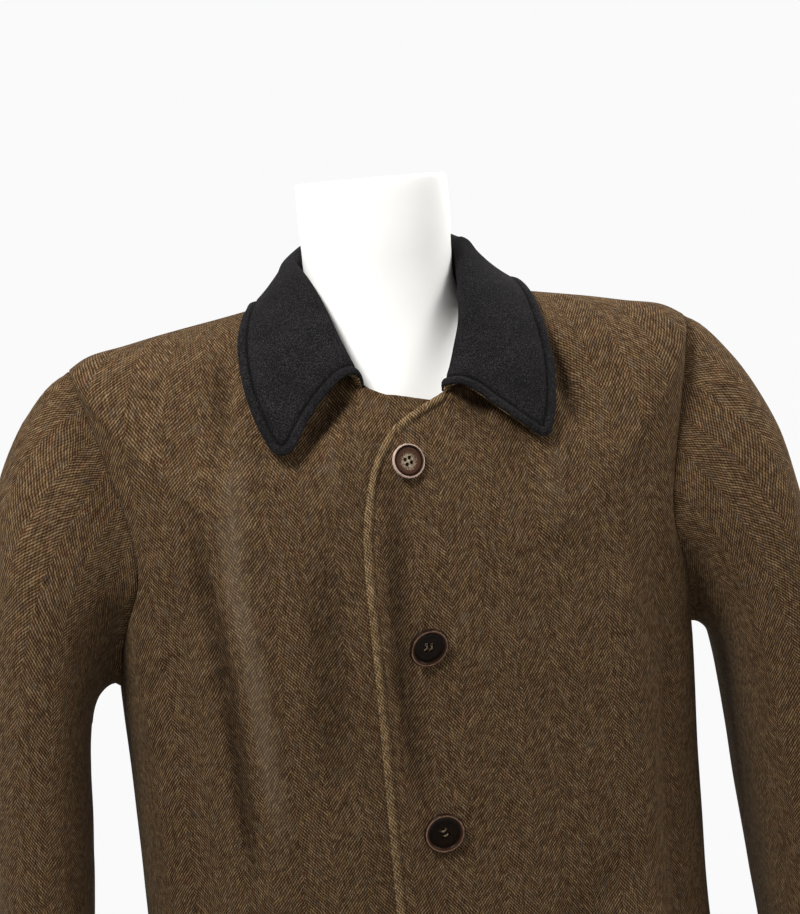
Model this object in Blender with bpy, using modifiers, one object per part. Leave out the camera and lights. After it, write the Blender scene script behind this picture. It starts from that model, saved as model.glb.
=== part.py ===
"""Single-breasted wool coat with a contrast collar, closed on a limbless dress form and its stand.

Metres, +Z up. The coat faces -Y, so +X is the wearer's left. The origin is on the floor, under
the middle of the stand's base plate. The coat is cut from one surface around the figure: a place
from 0 to 3 runs down it from the neckline to the hem, and an angle runs around it from the centre
front (0 degrees) over the wearer's left side (90) and the centre back (180).
"""

import math
from collections import namedtuple

import bmesh
import bpy
import numpy as np
from mathutils import Matrix, Vector

# Driving dimensions
SHOULDER_HEIGHT = 1.460     # floor to the point where the shoulder seam meets the collar
WALL = 0.0030               # coating cloth
COLLAR_WALL = 0.0020        # each of the collar's two layers
SEAM_GAP = 0.0003           # between two pieces that are sewn together
LAP_GAP = 0.0007            # between the left front and the right front under it
LAP = 0.040                 # how far each front passes the centre front
LAP_FADE = (0.044, 0.100)   # the left front sinks back to the figure between these places across
HANG_END = 0.75             # where a front's hang at the neckline has died out, down the coat
CORNER_START = 0.018        # where the left front's neckline turns into its rounded corner
CORNER_DROP = 0.085         # height of that corner
CORNER_ROUND = 1.8          # 2 is an ellipse, less is flatter
ARMHOLE_FRONT = 31.0        # degrees that the armhole cuts into the front
ARMHOLE_BACK = 27.0         # and into the back
ARMHOLE_ROUND = 0.8
SLEEVE_EASE = 0.0035        # how far the sleeve head turns out before it falls
COLLAR_HOLLOW = 0.012       # how far the collar's front edge is hollowed, as a share of its half length
COLLAR_TIP_ROUND = 0.16     # how far its points are rounded
COLLAR_SIDE = 0.5           # the collar crosses the shoulder seam here
COLLAR_CLEAR = 0.00090      # its foot clears the coat's neckline, which is straight between its points
COLLAR_TUCK = 0.0012        # and sinks towards it where the stand tips forward
BASE_RADIUS = 0.190
BASE_THICKNESS = 0.012
HUB_RADIUS = 0.030
HUB_NECK = 0.75             # share of the hub's radius that is left at its top
HUB_FOOT = 1.30             # and that it spreads to on the plate
HUB_HEIGHT = 0.030
POLE_RADIUS = 0.0125
FLANGE_RADIUS = 0.045
FLANGE_THICKNESS = 0.008
STAND_SOFT = 0.002          # softened edges of the stand
FORM_BOTTOM_PLACE = 2.68    # the form ends inside the skirt

# Where the places along the coat change from one edge to the next
NECK, TIP, UNDERARM, HEM = 0.0, 1.0, 2.0, 3.0

# How finely the pieces are divided
YOKE_ROWS = 9
YOKE_CROWDING = 1.35        # rows crowd towards the neckline
ARMHOLE_ROWS = 8
SKIRT_ROWS = 9
FRONT_COLUMNS = 13
BACK_COLUMNS = 20
SLEEVE_ROWS = 13
STAND_ROWS, ROLL_ROWS, FALL_ROWS = 3, 4, 5
COLLAR_STATIONS = 13        # on each side of the centre back
FORM_COLUMNS = 32
FORM_ROWS = 18
ROUND_STEPS = 32
BUTTON_STEPS = 20
HOLE_STEPS = 6

# Sections of the coat from the neckline down: half width, where the side lies front to back, the
# centre front and back, their heights from the shoulder, and how square the section is (2 is round)
Section = namedtuple(
    "Section", "name place half_width side_y front_y back_y front_z side_z back_z square")
SECTIONS = (
    Section("neckline", 0.00, 0.070, 0.008, -0.080, 0.060, -0.0725, 0.000, 0.012, 2.00),
    Section("yoke", 0.33, 0.120, 0.007, -0.097, 0.086, -0.115, -0.009, -0.026, 2.05),
    Section("shoulder", 0.66, 0.176, 0.005, -0.105, 0.107, -0.153, -0.019, -0.082, 2.10),
    Section("shoulder tip", 1.00, 0.228, 0.004, -0.110, 0.119, -0.190, -0.035, -0.140, 2.20),
    Section("chest", 1.50, 0.222, 0.002, -0.114, 0.125, -0.229, -0.150, -0.206, 2.35),
    Section("underarm", 2.00, 0.212, 0.000, -0.118, 0.122, -0.270, -0.268, -0.272, 2.50),
    Section("waist", 2.30, 0.208, 0.000, -0.122, 0.114, -0.450, -0.450, -0.450, 2.40),
    Section("hip", 2.65, 0.223, 0.000, -0.130, 0.134, -0.680, -0.680, -0.680, 2.30),
    Section("hem", 3.00, 0.246, 0.000, -0.145, 0.152, -0.920, -0.920, -0.920, 2.15),
)

# How far a front's neckline hangs down the coat from the even one, between two angles that are
# counted from the centre front to the front's own side
Hang = namedtuple("Hang", "drop start_angle whole_angle")
HANGS = {
    "over": Hang(0.125, 70.0, 28.0),
    "under": Hang(0.19, 2.0, -36.0),
}

# The largest folds: a soft trough (or ridge, where the depth is negative) from one place and angle
# to another, with its half width and its depth
Fold = namedtuple("Fold", "name start_place start_angle end_place end_angle half_width depth")
FOLDS = (
    Fold("right collar trough", 0.47, -64.0, 0.98, -37.0, 0.013, 0.0050),
    Fold("right collar ridge", 0.42, -52.0, 0.92, -28.0, 0.013, -0.0025),
    Fold("left collar trough", 0.40, 60.0, 0.92, 39.0, 0.013, 0.0045),
    Fold("left collar ridge", 0.55, 45.0, 1.20, 28.0, 0.016, -0.0020),
    Fold("right drape trough", 1.45, -47.0, 2.75, -52.0, 0.018, 0.0075),
    Fold("right drape ridge", 1.40, -36.0, 2.70, -40.0, 0.020, -0.0050),
    Fold("left drape trough", 1.50, 49.0, 2.60, 55.0, 0.018, 0.0060),
    Fold("left drape ridge", 1.45, 38.0, 2.55, 42.0, 0.022, -0.0040),
    Fold("back blade right", 1.15, 222.0, 2.95, 206.0, 0.022, 0.0070),
    Fold("back blade left", 1.10, 140.0, 2.90, 152.0, 0.022, 0.0060),
    Fold("back middle", 2.20, 177.0, 3.00, 181.0, 0.026, 0.0070),
    Fold("right skirt flute", 2.30, -62.0, 3.00, -66.0, 0.024, -0.0080),
    Fold("left skirt flute", 2.35, 64.0, 3.00, 69.0, 0.024, -0.0070),
    Fold("right skirt trough", 2.45, -84.0, 3.00, -86.0, 0.022, 0.0070),
    Fold("left skirt trough", 2.40, 83.0, 3.00, 84.0, 0.022, 0.0060),
)
FOLD_STEPS = 12
FOLD_TAPER = 0.30           # share of a fold's length over which it dies out at each end

# Sections of a sleeve from the armhole down: the points nearest to the body and farthest from it,
# the middle front to back, half the depth front to back, and how square the section is
SleeveSection = namedtuple(
    "SleeveSection", "name place inner_x inner_z outer_x outer_z middle_y half_depth square")
SLEEVE_SECTIONS = (
    SleeveSection("armhole", 0.00, 0.212, -0.268, 0.228, -0.035, 0.002, 0.066, 2.0),
    SleeveSection("head", 0.10, 0.223, -0.266, 0.259, -0.055, 0.001, 0.075, 2.0),
    SleeveSection("cap", 0.20, 0.231, -0.276, 0.283, -0.100, -0.001, 0.082, 2.1),
    SleeveSection("upper arm", 0.32, 0.237, -0.308, 0.300, -0.178, -0.003, 0.085, 2.2),
    SleeveSection("biceps", 0.46, 0.241, -0.360, 0.314, -0.278, -0.005, 0.083, 2.2),
    SleeveSection("elbow", 0.68, 0.250, -0.478, 0.323, -0.450, -0.010, 0.077, 2.2),
    SleeveSection("forearm", 0.85, 0.258, -0.575, 0.327, -0.565, -0.020, 0.070, 2.2),
    SleeveSection("cuff", 1.00, 0.265, -0.665, 0.329, -0.665, -0.032, 0.063, 2.2),
)
SLEEVE_BLEND = 0.26         # the armhole's outline has become the sleeve's section here
SLEEVE_CROWDING = 1.25

# Stations of the collar from the centre back to a front end: the angle on the neckline, the height
# of the stand, how far it leans to the neck and how far it tips out along the coat's own normal,
# the roll's radius, then the angle and the places on the right and on the left where the outer edge
# lands on the coat, how far above it, and how far the fall bulges
Station = namedtuple(
    "Station",
    "name place neck_angle stand lean tip roll edge_angle right_edge left_edge lift bulge")
STATIONS = (
    Station("back", 0.00, 180.0, 0.037, 0.0090, 0.00, 0.0042, 180.0, 0.130, 0.130, 0.0048, 0.000),
    Station("back side", 0.28, 132.0, 0.037, 0.0100, 0.00, 0.0042, 135.0, 0.150, 0.160, 0.0048, -0.001),
    Station("shoulder", 0.50, 92.0, 0.034, 0.0110, 0.00, 0.0042, 92.0, 0.158, 0.220, 0.0048, -0.0035),
    Station("front side", 0.70, 57.0, 0.027, 0.0090, 0.12, 0.0050, 63.0, 0.330, 0.358, 0.0050, 0.000),
    Station("front", 0.85, 40.0, 0.020, 0.0050, 0.28, 0.0058, 48.0, 0.462, 0.482, 0.0056, 0.003),
    Station("end", 1.00, 23.5, 0.0138, 0.002, 0.45, 0.0064, 32.0, 0.578, 0.634, 0.0062, 0.003),
)
LEAN_RIGHT, LEAN_LEFT = 1.05, 0.45      # the collar sits a little to the wearer's left
LEFT_END_STAND = 0.80                   # and stands lower at its left end
LEFT_END_TURN = 4.0                     # which lies these degrees nearer to the centre front

# How far the dress form lies inside the coat's outer surface, at its front, side and back
Inset = namedtuple("Inset", "name place front side back")
INSETS = (
    Inset("neck", 0.00, 0.018, 0.0095, 0.0100),
    Inset("collar seam", 0.15, 0.022, 0.0036, 0.0085),
    Inset("shoulder", 0.55, 0.026, 0.0034, 0.0110),
    Inset("shoulder end", 0.80, 0.028, 0.0110, 0.0150),
    Inset("tip", 1.00, 0.029, 0.0240, 0.0190),
    Inset("chest", 1.50, 0.031, 0.0380, 0.0240),
    Inset("underarm", 2.00, 0.031, 0.0400, 0.0270),
    Inset("waist", 2.30, 0.046, 0.0600, 0.0380),
    Inset("hip", 2.68, 0.038, 0.0480, 0.0360),
)

# Sections of the form's neck from its cut top down
NeckSection = namedtuple("NeckSection", "name half_width front_y back_y front_z side_z back_z")
NECK_SECTIONS = (
    NeckSection("cut top", 0.0545, -0.0680, 0.0300, 0.0835, 0.0835, 0.0835),
    NeckSection("throat", 0.0528, -0.0620, 0.0350, 0.0440, 0.0550, 0.0590),
    NeckSection("collar", 0.0502, -0.0550, 0.0390, 0.0000, 0.0280, 0.0380),
    NeckSection("root", 0.0525, -0.0560, 0.0460, -0.0420, 0.0050, 0.0200),
)

# Buttons down the centre front: the height from the shoulder, the diameter, and how far the button
# has tipped on its thread, towards which clock angle (0 is up, 90 the wearer's left), and how far
# its holes are turned
ButtonRow = namedtuple("ButtonRow", "name drop diameter tilt towards turn")
BUTTONS = (
    ButtonRow("button_1", 0.117, 0.0245, 17.0, 104.0, 35.0),
    ButtonRow("button_2", 0.244, 0.0295, 29.0, 155.0, -8.0),
    ButtonRow("button_3", 0.374, 0.0295, 12.0, 170.0, 20.0),
    ButtonRow("button_4", 0.504, 0.0295, 15.0, 150.0, 55.0),
)
BUTTON_LINE = -0.0025       # across from the centre front
BUTTON_THICKNESS = 0.0042
BUTTON_RIM = 0.0024         # width of the raised rim
BUTTON_DISH = 0.0012        # depth of the middle below the rim
BUTTON_SOFT = 0.0009        # rounding of its edges
BUTTON_FOOT = 0.72          # share of its radius that its flat back has
HOLE_DIAMETER = 0.0022
HOLE_OFFSET = 0.0023        # from the button's middle, along both sides of the square of holes

# Each material's base colour (linear), roughness and metallic value
Finish = namedtuple("Finish", "colour roughness metallic")
FINISHES = {
    "tweed": Finish((0.088, 0.052, 0.025), 0.95, 0.0),
    "melton": Finish((0.026, 0.024, 0.026), 0.95, 0.0),
    "horn": Finish((0.045, 0.026, 0.014), 0.30, 0.0),
    "form_white": Finish((0.86, 0.86, 0.85), 0.45, 0.0),
    "steel": Finish((0.62, 0.62, 0.62), 0.30, 1.0),
    "base_enamel": Finish((0.80, 0.80, 0.79), 0.40, 0.0),
}


def ease(value):
    """Goes smoothly from 0 to 1 as the value does."""
    value = min(max(value, 0.0), 1.0)
    return value * value * (3.0 - 2.0 * value)


def unit(vector):
    return vector / np.linalg.norm(vector)


def curve_slopes(places, values):
    """Slopes for a smooth curve through a table's rows that never swings past a row's value."""
    steps = np.diff(places)[:, None]
    rises = np.diff(values, axis=0) / steps
    slopes = np.vstack((rises[:1], rises[:-1], rises[-1:]))
    before, after = rises[:-1], rises[1:]
    same = before * after > 0.0
    first = 2.0 * steps[1:] + steps[:-1]
    second = steps[1:] + 2.0 * steps[:-1]
    share = first / np.where(same, before, 1.0) + second / np.where(same, after, 1.0)
    slopes[1:-1] = np.where(same, (first + second) / share, 0.0)
    return slopes


def row_at(table, place):
    """The values of a table's columns at a place between its rows, on a smooth curve through them."""
    places = np.array([row.place for row in table])
    values = np.array([row[2:] for row in table])
    slopes = curve_slopes(places, values)
    low = int(np.clip(np.searchsorted(places, place, side="right") - 1, 0, len(table) - 2))
    step = places[low + 1] - places[low]
    share = (place - places[low]) / step
    rest = 1.0 - share
    return (values[low] * rest * rest * (1.0 + 2.0 * share)
            + values[low + 1] * share * share * (1.0 + 2.0 * rest)
            + step * share * rest * (slopes[low] * rest - slopes[low + 1] * share))


def figure_point(place, angle):
    """A point of the coat's outer surface before its folds; the angle is in degrees."""
    half_width, side_y, front_y, back_y, front_z, side_z, back_z, square = row_at(SECTIONS, place)
    across = math.sin(math.radians(angle))
    along = math.cos(math.radians(angle))
    deep_y, deep_z = (front_y, front_z) if along > 0 else (back_y, back_z)
    power = 2.0 / square
    return np.array((
        half_width * math.copysign(abs(across) ** power, across),
        side_y + (deep_y - side_y) * abs(along) ** power,
        SHOULDER_HEIGHT + side_z + (deep_z - side_z) * along * along))


def figure_slopes(place, angle):
    """The directions around the figure and down it at a point of its surface."""
    turn, step = 0.5, 0.004
    around = figure_point(place, angle + turn) - figure_point(place, angle - turn)
    above = max(place - step, NECK)
    below = min(place + step, HEM)
    down = figure_point(below, angle) - figure_point(above, angle)
    return unit(around), unit(down)


def figure_normal(place, angle):
    around, down = figure_slopes(place, angle)
    return unit(np.cross(down, around))


def fold_line(fold):
    shares = np.linspace(0.0, 1.0, FOLD_STEPS)
    places = fold.start_place + (fold.end_place - fold.start_place) * shares
    angles = fold.start_angle + (fold.end_angle - fold.start_angle) * shares
    return np.array([figure_point(place, angle) for place, angle in zip(places, angles)])


FOLD_LINES = [(fold, fold_line(fold)) for fold in FOLDS]


def fold_height(point):
    """How far the folds lift a point of the coat off the figure, or sink it."""
    height = 0.0
    for fold, line in FOLD_LINES:
        starts = line[:-1]
        spans = line[1:] - starts
        shares = np.sum((point - starts) * spans, axis=1) / np.sum(spans * spans, axis=1)
        shares = np.clip(shares, 0.0, 1.0)
        distances = np.linalg.norm(starts + spans * shares[:, None] - point, axis=1)
        nearest = int(np.argmin(distances))
        along = (nearest + shares[nearest]) / len(spans)
        open_end = fold.end_place >= HEM
        fade = ease(along / FOLD_TAPER) * (1.0 if open_end else ease((1.0 - along) / FOLD_TAPER))
        height -= fold.depth * fade * math.exp(-((distances[nearest] / fold.half_width) ** 2))
    return height


def lap_height(x):
    """How far the left front stands off the right one at a place across the chest."""
    return (WALL + LAP_GAP) * ease((LAP_FADE[1] - x) / (LAP_FADE[1] - LAP_FADE[0]))


def hung_place(place, own_angle, layer):
    """The place that a front's cloth has hung down to from a place near its neckline; the angle is
    counted from the centre front to the front's own side."""
    if layer not in HANGS:
        return place
    hang = HANGS[layer]
    across = ease((hang.start_angle - own_angle) / (hang.start_angle - hang.whole_angle))
    return place + hang.drop * across * ease(1.0 - place / HANG_END)


def coat_point(place, angle, depth=0.0, layer="even"):
    """A point of the coat, at a depth below its outer face, on the front that laps over, on the one
    under it, or where the cloth lies even."""
    place = hung_place(place, angle if layer == "over" else -angle, layer)
    point = figure_point(place, angle)
    height = fold_height(point) - depth
    if layer == "over":
        height += lap_height(point[0])
    return point + figure_normal(place, angle) * height


def armhole_angle(place, cut):
    """The angle from the side line to the armhole's edge, nothing where there is a seam instead."""
    if TIP < place < UNDERARM:
        return cut * math.sin(math.pi * (place - TIP)) ** ARMHOLE_ROUND
    return 0.0


def angle_across(place, x):
    """The angle near the centre front at which a section has the place x across."""
    values = row_at(SECTIONS, place)
    half_width, square = values[0], values[-1]
    return math.degrees(math.asin(math.copysign((abs(x) / half_width) ** (square / 2.0), x)))


def front_edge_angle(place, layer):
    """The angle of a front's free edge, counted from the centre front to the front's own side."""
    start = CORNER_START if layer == "over" else -LAP
    angle = angle_across(NECK, start)
    top = figure_point(hung_place(NECK, angle, layer), angle)[2]
    for _ in range(12):
        hung = hung_place(place, angle, layer)
        drop = (top - figure_point(hung, angle)[2]) / CORNER_DROP
        rest = 1.0 - min(max(drop, 0.0), 1.0)
        share = (1.0 - rest ** CORNER_ROUND) ** (1.0 / CORNER_ROUND)
        angle = angle_across(hung, start - (start + LAP) * share)
    return angle


def body_places():
    yoke = [(index / YOKE_ROWS) ** YOKE_CROWDING for index in range(YOKE_ROWS)]
    armhole = [TIP + index / ARMHOLE_ROWS for index in range(ARMHOLE_ROWS)]
    skirt = [UNDERARM + index / SKIRT_ROWS for index in range(SKIRT_ROWS + 1)]
    return yoke + armhole + skirt


def trimmed(points):
    """Draws the last point of a row back from the seam by half the gap."""
    points[-1] = points[-1] + unit(points[-2] - points[-1]) * SEAM_GAP / 2.0
    return points


def wall_ring(outer, inner):
    return list(outer) + list(reversed(inner))


def loft(name, rings, ends):
    """A closed solid through rings of points. Its ends are filled flat, filled as the strip
    between a wall's two faces, or joined to each other."""
    shape = bmesh.new()
    loops = [[shape.verts.new(point) for point in ring] for ring in rings]
    following = loops[1:] + loops[:1] if ends == "joined" else loops[1:]
    for near, far in zip(loops, following):
        for index in range(len(near)):
            after = (index + 1) % len(near)
            quad = (near[index], near[after], far[after], far[index])
            if index >= len(near) // 2:
                quad = quad[1:] + quad[:1]      # a wall's two faces bend along the same diagonals
            shape.faces.new(quad)
    for loop in (loops[0], loops[-1]):
        if ends == "flat":
            shape.faces.new(loop)
        elif ends == "strip":
            for index in range(len(loop) // 2 - 1):
                shape.faces.new((loop[index], loop[index + 1], loop[-2 - index], loop[-1 - index]))
    bmesh.ops.recalc_face_normals(shape, faces=shape.faces)
    mesh = bpy.data.meshes.new(name)
    shape.to_mesh(mesh)
    shape.free()
    return mesh


def material(name):
    """One Principled material for each finish."""
    if name in bpy.data.materials:
        return bpy.data.materials[name]
    finish = FINISHES[name]
    made = bpy.data.materials.new(name)
    made.use_nodes = True
    shader = made.node_tree.nodes["Principled BSDF"]
    shader.inputs["Base Color"].default_value = (*finish.colour, 1.0)
    shader.inputs["Roughness"].default_value = finish.roughness
    shader.inputs["Metallic"].default_value = finish.metallic
    return made


def add_piece(name, mesh, finish, collection, matrix=None):
    piece = bpy.data.objects.new(name, mesh)
    if not mesh.materials:
        mesh.materials.append(material(finish))
    mesh.shade_smooth()
    mesh.set_sharp_from_angle(angle=math.radians(40.0))
    if matrix is not None:
        piece.matrix_world = matrix
    collection.objects.link(piece)
    return piece


def front_mesh(name, side):
    """One front, from its free edge to the shoulder seam, the armhole and the side seam."""
    layer = "over" if side > 0 else "under"
    rings = []
    for place in body_places():
        start = front_edge_angle(place, layer)
        end = 90.0 - armhole_angle(place, ARMHOLE_FRONT)
        angles = [side * angle for angle in np.linspace(start, end, FRONT_COLUMNS + 1)]
        outer = [coat_point(place, angle, 0.0, layer) for angle in angles]
        inner = [coat_point(place, angle, WALL, layer) for angle in angles]
        rings.append(wall_ring(trimmed(outer), trimmed(inner)))
    return loft(name, rings, "strip")


def back_mesh(name):
    """The whole back, from the left side over the centre back to the right side."""
    rings = []
    for place in body_places():
        reach = 90.0 - armhole_angle(place, ARMHOLE_BACK)
        angles = np.linspace(180.0 - reach, 180.0 + reach, BACK_COLUMNS + 1)
        outer = [coat_point(place, angle) for angle in angles]
        inner = [coat_point(place, angle, WALL) for angle in angles]
        faces = [trimmed(list(reversed(trimmed(list(reversed(points)))))) for points in (outer, inner)]
        rings.append(wall_ring(*faces))
    return loft(name, rings, "strip")


def armhole_outline(side):
    """The armhole's edge, from the shoulder tip down its front and up its back: for each point the
    coat's outer and inner face and the direction into the hole."""
    places = [TIP + index / ARMHOLE_ROWS for index in range(ARMHOLE_ROWS + 1)]
    edge = [(place, 90.0 - armhole_angle(place, ARMHOLE_FRONT)) for place in places]
    edge += [(place, 90.0 + armhole_angle(place, ARMHOLE_BACK)) for place in reversed(places[1:-1])]
    outer = [coat_point(place, side * angle) for place, angle in edge]
    inner = [coat_point(place, side * angle, WALL) for place, angle in edge]
    normals = [figure_normal(place, side * angle) for place, angle in edge]
    middle = np.mean(outer, axis=0)
    inwards = []
    for index, normal in enumerate(normals):
        after = outer[(index + 1) % len(outer)]
        direction = unit(np.cross(after - outer[index - 1], normal))
        inwards.append(direction * math.copysign(1.0, np.dot(direction, middle - outer[index])))
    return outer, inner, inwards


def sleeve_frame(place, side):
    """A sleeve section's middle, its direction away from the body, its half width and the rest."""
    values = row_at(SLEEVE_SECTIONS, place)
    inner_x, inner_z, outer_x, outer_z, middle_y, half_depth, square = values
    near = np.array((side * inner_x, middle_y, SHOULDER_HEIGHT + inner_z))
    far = np.array((side * outer_x, middle_y, SHOULDER_HEIGHT + outer_z))
    return (near + far) / 2.0, unit(far - near), np.linalg.norm(far - near) / 2.0, half_depth, square


def sleeve_point(place, turn, side):
    middle, away, half_width, half_depth, square = sleeve_frame(place, side)
    power = 2.0 / square
    across = math.copysign(abs(math.cos(turn)) ** power, math.cos(turn))
    forward = math.copysign(abs(math.sin(turn)) ** power, math.sin(turn))
    return middle + away * half_width * across - np.array((0.0, half_depth * forward, 0.0))


def sleeve_turns(outline, side):
    """The turn around the sleeve at which each point of the armhole lies."""
    middle, away, half_width, half_depth, _ = sleeve_frame(0.0, side)
    turns = []
    for point in outline:
        across = np.dot(point - middle, away) / half_width
        forward = -(point - middle)[1] / half_depth
        turns.append(math.atan2(forward, across))
    return turns


def sleeve_mesh(name, side):
    """A sleeve from the armhole to the cuff, as a wall with both ends open."""
    outer, inner, inwards = armhole_outline(side)
    turns = sleeve_turns(outer, side)
    out = np.array((side * SLEEVE_EASE, 0.0, 0.0))
    eased = [point + inward * SLEEVE_EASE + out for point, inward in zip(outer, inwards)]
    rows = [[point + inward * SEAM_GAP for point, inward in zip(outer, inwards)], eased]
    for index in range(1, SLEEVE_ROWS + 1):
        place = (index / SLEEVE_ROWS) ** SLEEVE_CROWDING
        blend = ease(place / SLEEVE_BLEND)
        rows.append([start * (1.0 - blend) + sleeve_point(place, turn, side) * blend
                     for start, turn in zip(eased, turns)])
    rows = np.array(rows)
    around = np.roll(rows, -1, axis=1) - np.roll(rows, 1, axis=1)
    along = np.gradient(rows, axis=0)
    normals = np.cross(along, around) * -side
    normals /= np.linalg.norm(normals, axis=2)[:, :, None]
    faces = rows - normals * WALL
    faces[0] = [point + inward * SEAM_GAP for point, inward in zip(inner, inwards)]
    rings = [wall_ring(rows[:, column], faces[:, column]) for column in range(len(turns))]
    return loft(name, rings, "joined")


def collar_section(place, side):
    """The collar's middle surface at one station: up the stand, over the roll and down the fall."""
    values = row_at(STATIONS, place)
    neck_angle, stand, lean, tip, roll, edge_angle, right_edge, left_edge, lift, bulge = values
    left = side > 0
    edge_place = left_edge if left else right_edge
    lean *= 1.0 + ((LEAN_LEFT if left else LEAN_RIGHT) - 1.0) * ease(place / COLLAR_SIDE)
    if left:
        end_share = ease((place - COLLAR_SIDE) / COLLAR_SIDE)
        stand *= 1.0 + (LEFT_END_STAND - 1.0) * end_share
        neck_angle -= LEFT_END_TURN * end_share
    layer = "over" if left and place > COLLAR_SIDE else "even"
    angle = side * neck_angle
    seam_place = hung_place(NECK, neck_angle, layer)
    normal = figure_normal(seam_place, angle)
    _, down = figure_slopes(seam_place, angle)
    clear = COLLAR_CLEAR + COLLAR_WALL - COLLAR_TUCK * tip
    root = coat_point(NECK, angle, WALL / 2.0, layer) - down * clear
    edge = coat_point(edge_place, side * edge_angle, -lift, layer)
    up = unit(np.array((0.0, 0.0, 1.0 - tip)) + normal * tip)
    reach = edge - root
    out = unit(reach - up * np.dot(reach, up))
    edge_out, edge_up = np.dot(reach, out), np.dot(reach, up)
    centre_out, centre_up = roll - lean, stand - roll
    span = math.hypot(edge_out - centre_out, edge_up - centre_up)
    leave = math.atan2(edge_up - centre_up, edge_out - centre_out) + math.acos(roll / span)
    flat = []
    for index in range(STAND_ROWS):
        share = index / STAND_ROWS
        flat.append((-lean * ease(share), centre_up * share))
    for index in range(ROLL_ROWS + 1):
        turn = math.pi + (leave - math.pi) * index / ROLL_ROWS
        flat.append((centre_out + roll * math.cos(turn), centre_up + roll * math.sin(turn)))
    start_out, start_up = flat[-1]
    for index in range(1, FALL_ROWS + 1):
        share = index / FALL_ROWS
        swell = bulge * 4.0 * share * (1.0 - share)
        flat.append((start_out + (edge_out - start_out) * share + swell * math.cos(leave),
                     start_up + (edge_up - start_up) * share + swell * math.sin(leave)))
    return [root + out * across + up * height for across, height in flat]


def collar_middle():
    """The collar's middle surface, from its right front end around the neck to its left one."""
    rolled = STAND_ROWS + ROLL_ROWS + 1
    grid = []
    for step in range(-COLLAR_STATIONS, COLLAR_STATIONS + 1):
        side = 1.0 if step > 0 else -1.0
        place = abs(step) / COLLAR_STATIONS
        row = []
        for index in range(rolled + FALL_ROWS):
            share = max(index - rolled + 1, 0) / FALL_ROWS
            hollow = 1.0 - COLLAR_HOLLOW * 4.0 * share * (1.0 - share)
            row.append(collar_section(place * hollow, side)[index])
        grid.append(row)
    grid = np.array(grid)
    for end, beside in ((0, 1), (-1, -2)):
        corner = grid[end, -1]
        grid[end, -1] = corner + COLLAR_TIP_ROUND * (grid[beside, -1] + grid[end, -2] - 2.0 * corner)
    return grid


def collar_mesh(name, middle, near, far):
    """One layer of the collar, between two distances from its middle surface."""
    along = np.gradient(middle, axis=0)
    across = np.gradient(middle, axis=1)
    normals = np.cross(along, across)
    normals /= np.linalg.norm(normals, axis=2)[:, :, None]
    rings = [wall_ring(row + normal * far, row + normal * near)
             for row, normal in zip(middle, normals)]
    return loft(name, rings, "strip")


def neck_point(section, angle):
    across = math.sin(math.radians(angle))
    along = math.cos(math.radians(angle))
    deep_y, deep_z = ((section.front_y, section.front_z) if along > 0
                      else (section.back_y, section.back_z))
    middle_y = (section.front_y + section.back_y) / 2.0
    return np.array((section.half_width * across,
                     middle_y + (deep_y - middle_y) * abs(along),
                     SHOULDER_HEIGHT + section.side_z + (deep_z - section.side_z) * along * along))


def form_mesh(name):
    """The limbless form: a neck cut flat, shoulders that carry the coat, and a torso with a flat end."""
    angles = np.linspace(0.0, 360.0, FORM_COLUMNS, endpoint=False)
    rings = [[neck_point(section, angle) for angle in angles] for section in NECK_SECTIONS]
    for index in range(FORM_ROWS + 1):
        place = FORM_BOTTOM_PLACE * index / FORM_ROWS
        front, side, back = row_at(INSETS, place)
        ring = []
        for angle in angles:
            along = math.cos(math.radians(angle))
            inset = side + ((front if along > 0 else back) - side) * along * along
            ring.append(figure_point(place, angle) - figure_normal(place, angle) * inset)
        rings.append(ring)
    bottom = np.mean([point[2] for point in rings[-1]])
    for point in rings[-1]:
        point[2] = bottom
    return loft(name, rings, "flat"), bottom


def add_turned(name, profile, steps, finish, collection, matrix=None):
    """A piece turned about Z from a profile that runs down its outer side."""
    outline = bpy.data.meshes.new(name)
    outline.from_pydata([(radius, 0.0, height) for radius, height in profile],
                        [(index, index + 1) for index in range(len(profile) - 1)], [])
    piece = add_piece(name, outline, finish, collection, matrix)
    screw = piece.modifiers.new("turn", "SCREW")
    screw.axis = "Z"
    screw.angle = math.tau
    screw.steps = steps
    screw.render_steps = steps
    screw.use_merge_vertices = True
    screw.merge_threshold = 0.00001
    screw.use_smooth_shade = True
    return piece


def front_place(drop):
    """The place down the centre front that lies a height below the shoulder."""
    low, high = NECK, HEM
    for _ in range(40):
        middle = (low + high) / 2.0
        if SHOULDER_HEIGHT - figure_point(hung_place(middle, 0.0, "over"), 0.0)[2] < drop:
            low = middle
        else:
            high = middle
    return low


def button_profile(row):
    """Half of a button's outline, from the middle of its dish around its rim to the middle below."""
    radius = row.diameter / 2.0
    floor = radius - BUTTON_RIM
    return [
        (0.0, BUTTON_THICKNESS - BUTTON_DISH),
        (floor - BUTTON_SOFT, BUTTON_THICKNESS - BUTTON_DISH),
        (floor + BUTTON_SOFT, BUTTON_THICKNESS),
        (radius - BUTTON_SOFT, BUTTON_THICKNESS),
        (radius, BUTTON_THICKNESS - BUTTON_SOFT),
        (radius - BUTTON_SOFT, BUTTON_SOFT),
        (radius * BUTTON_FOOT, 0.0),
        (0.0, 0.0)]


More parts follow.
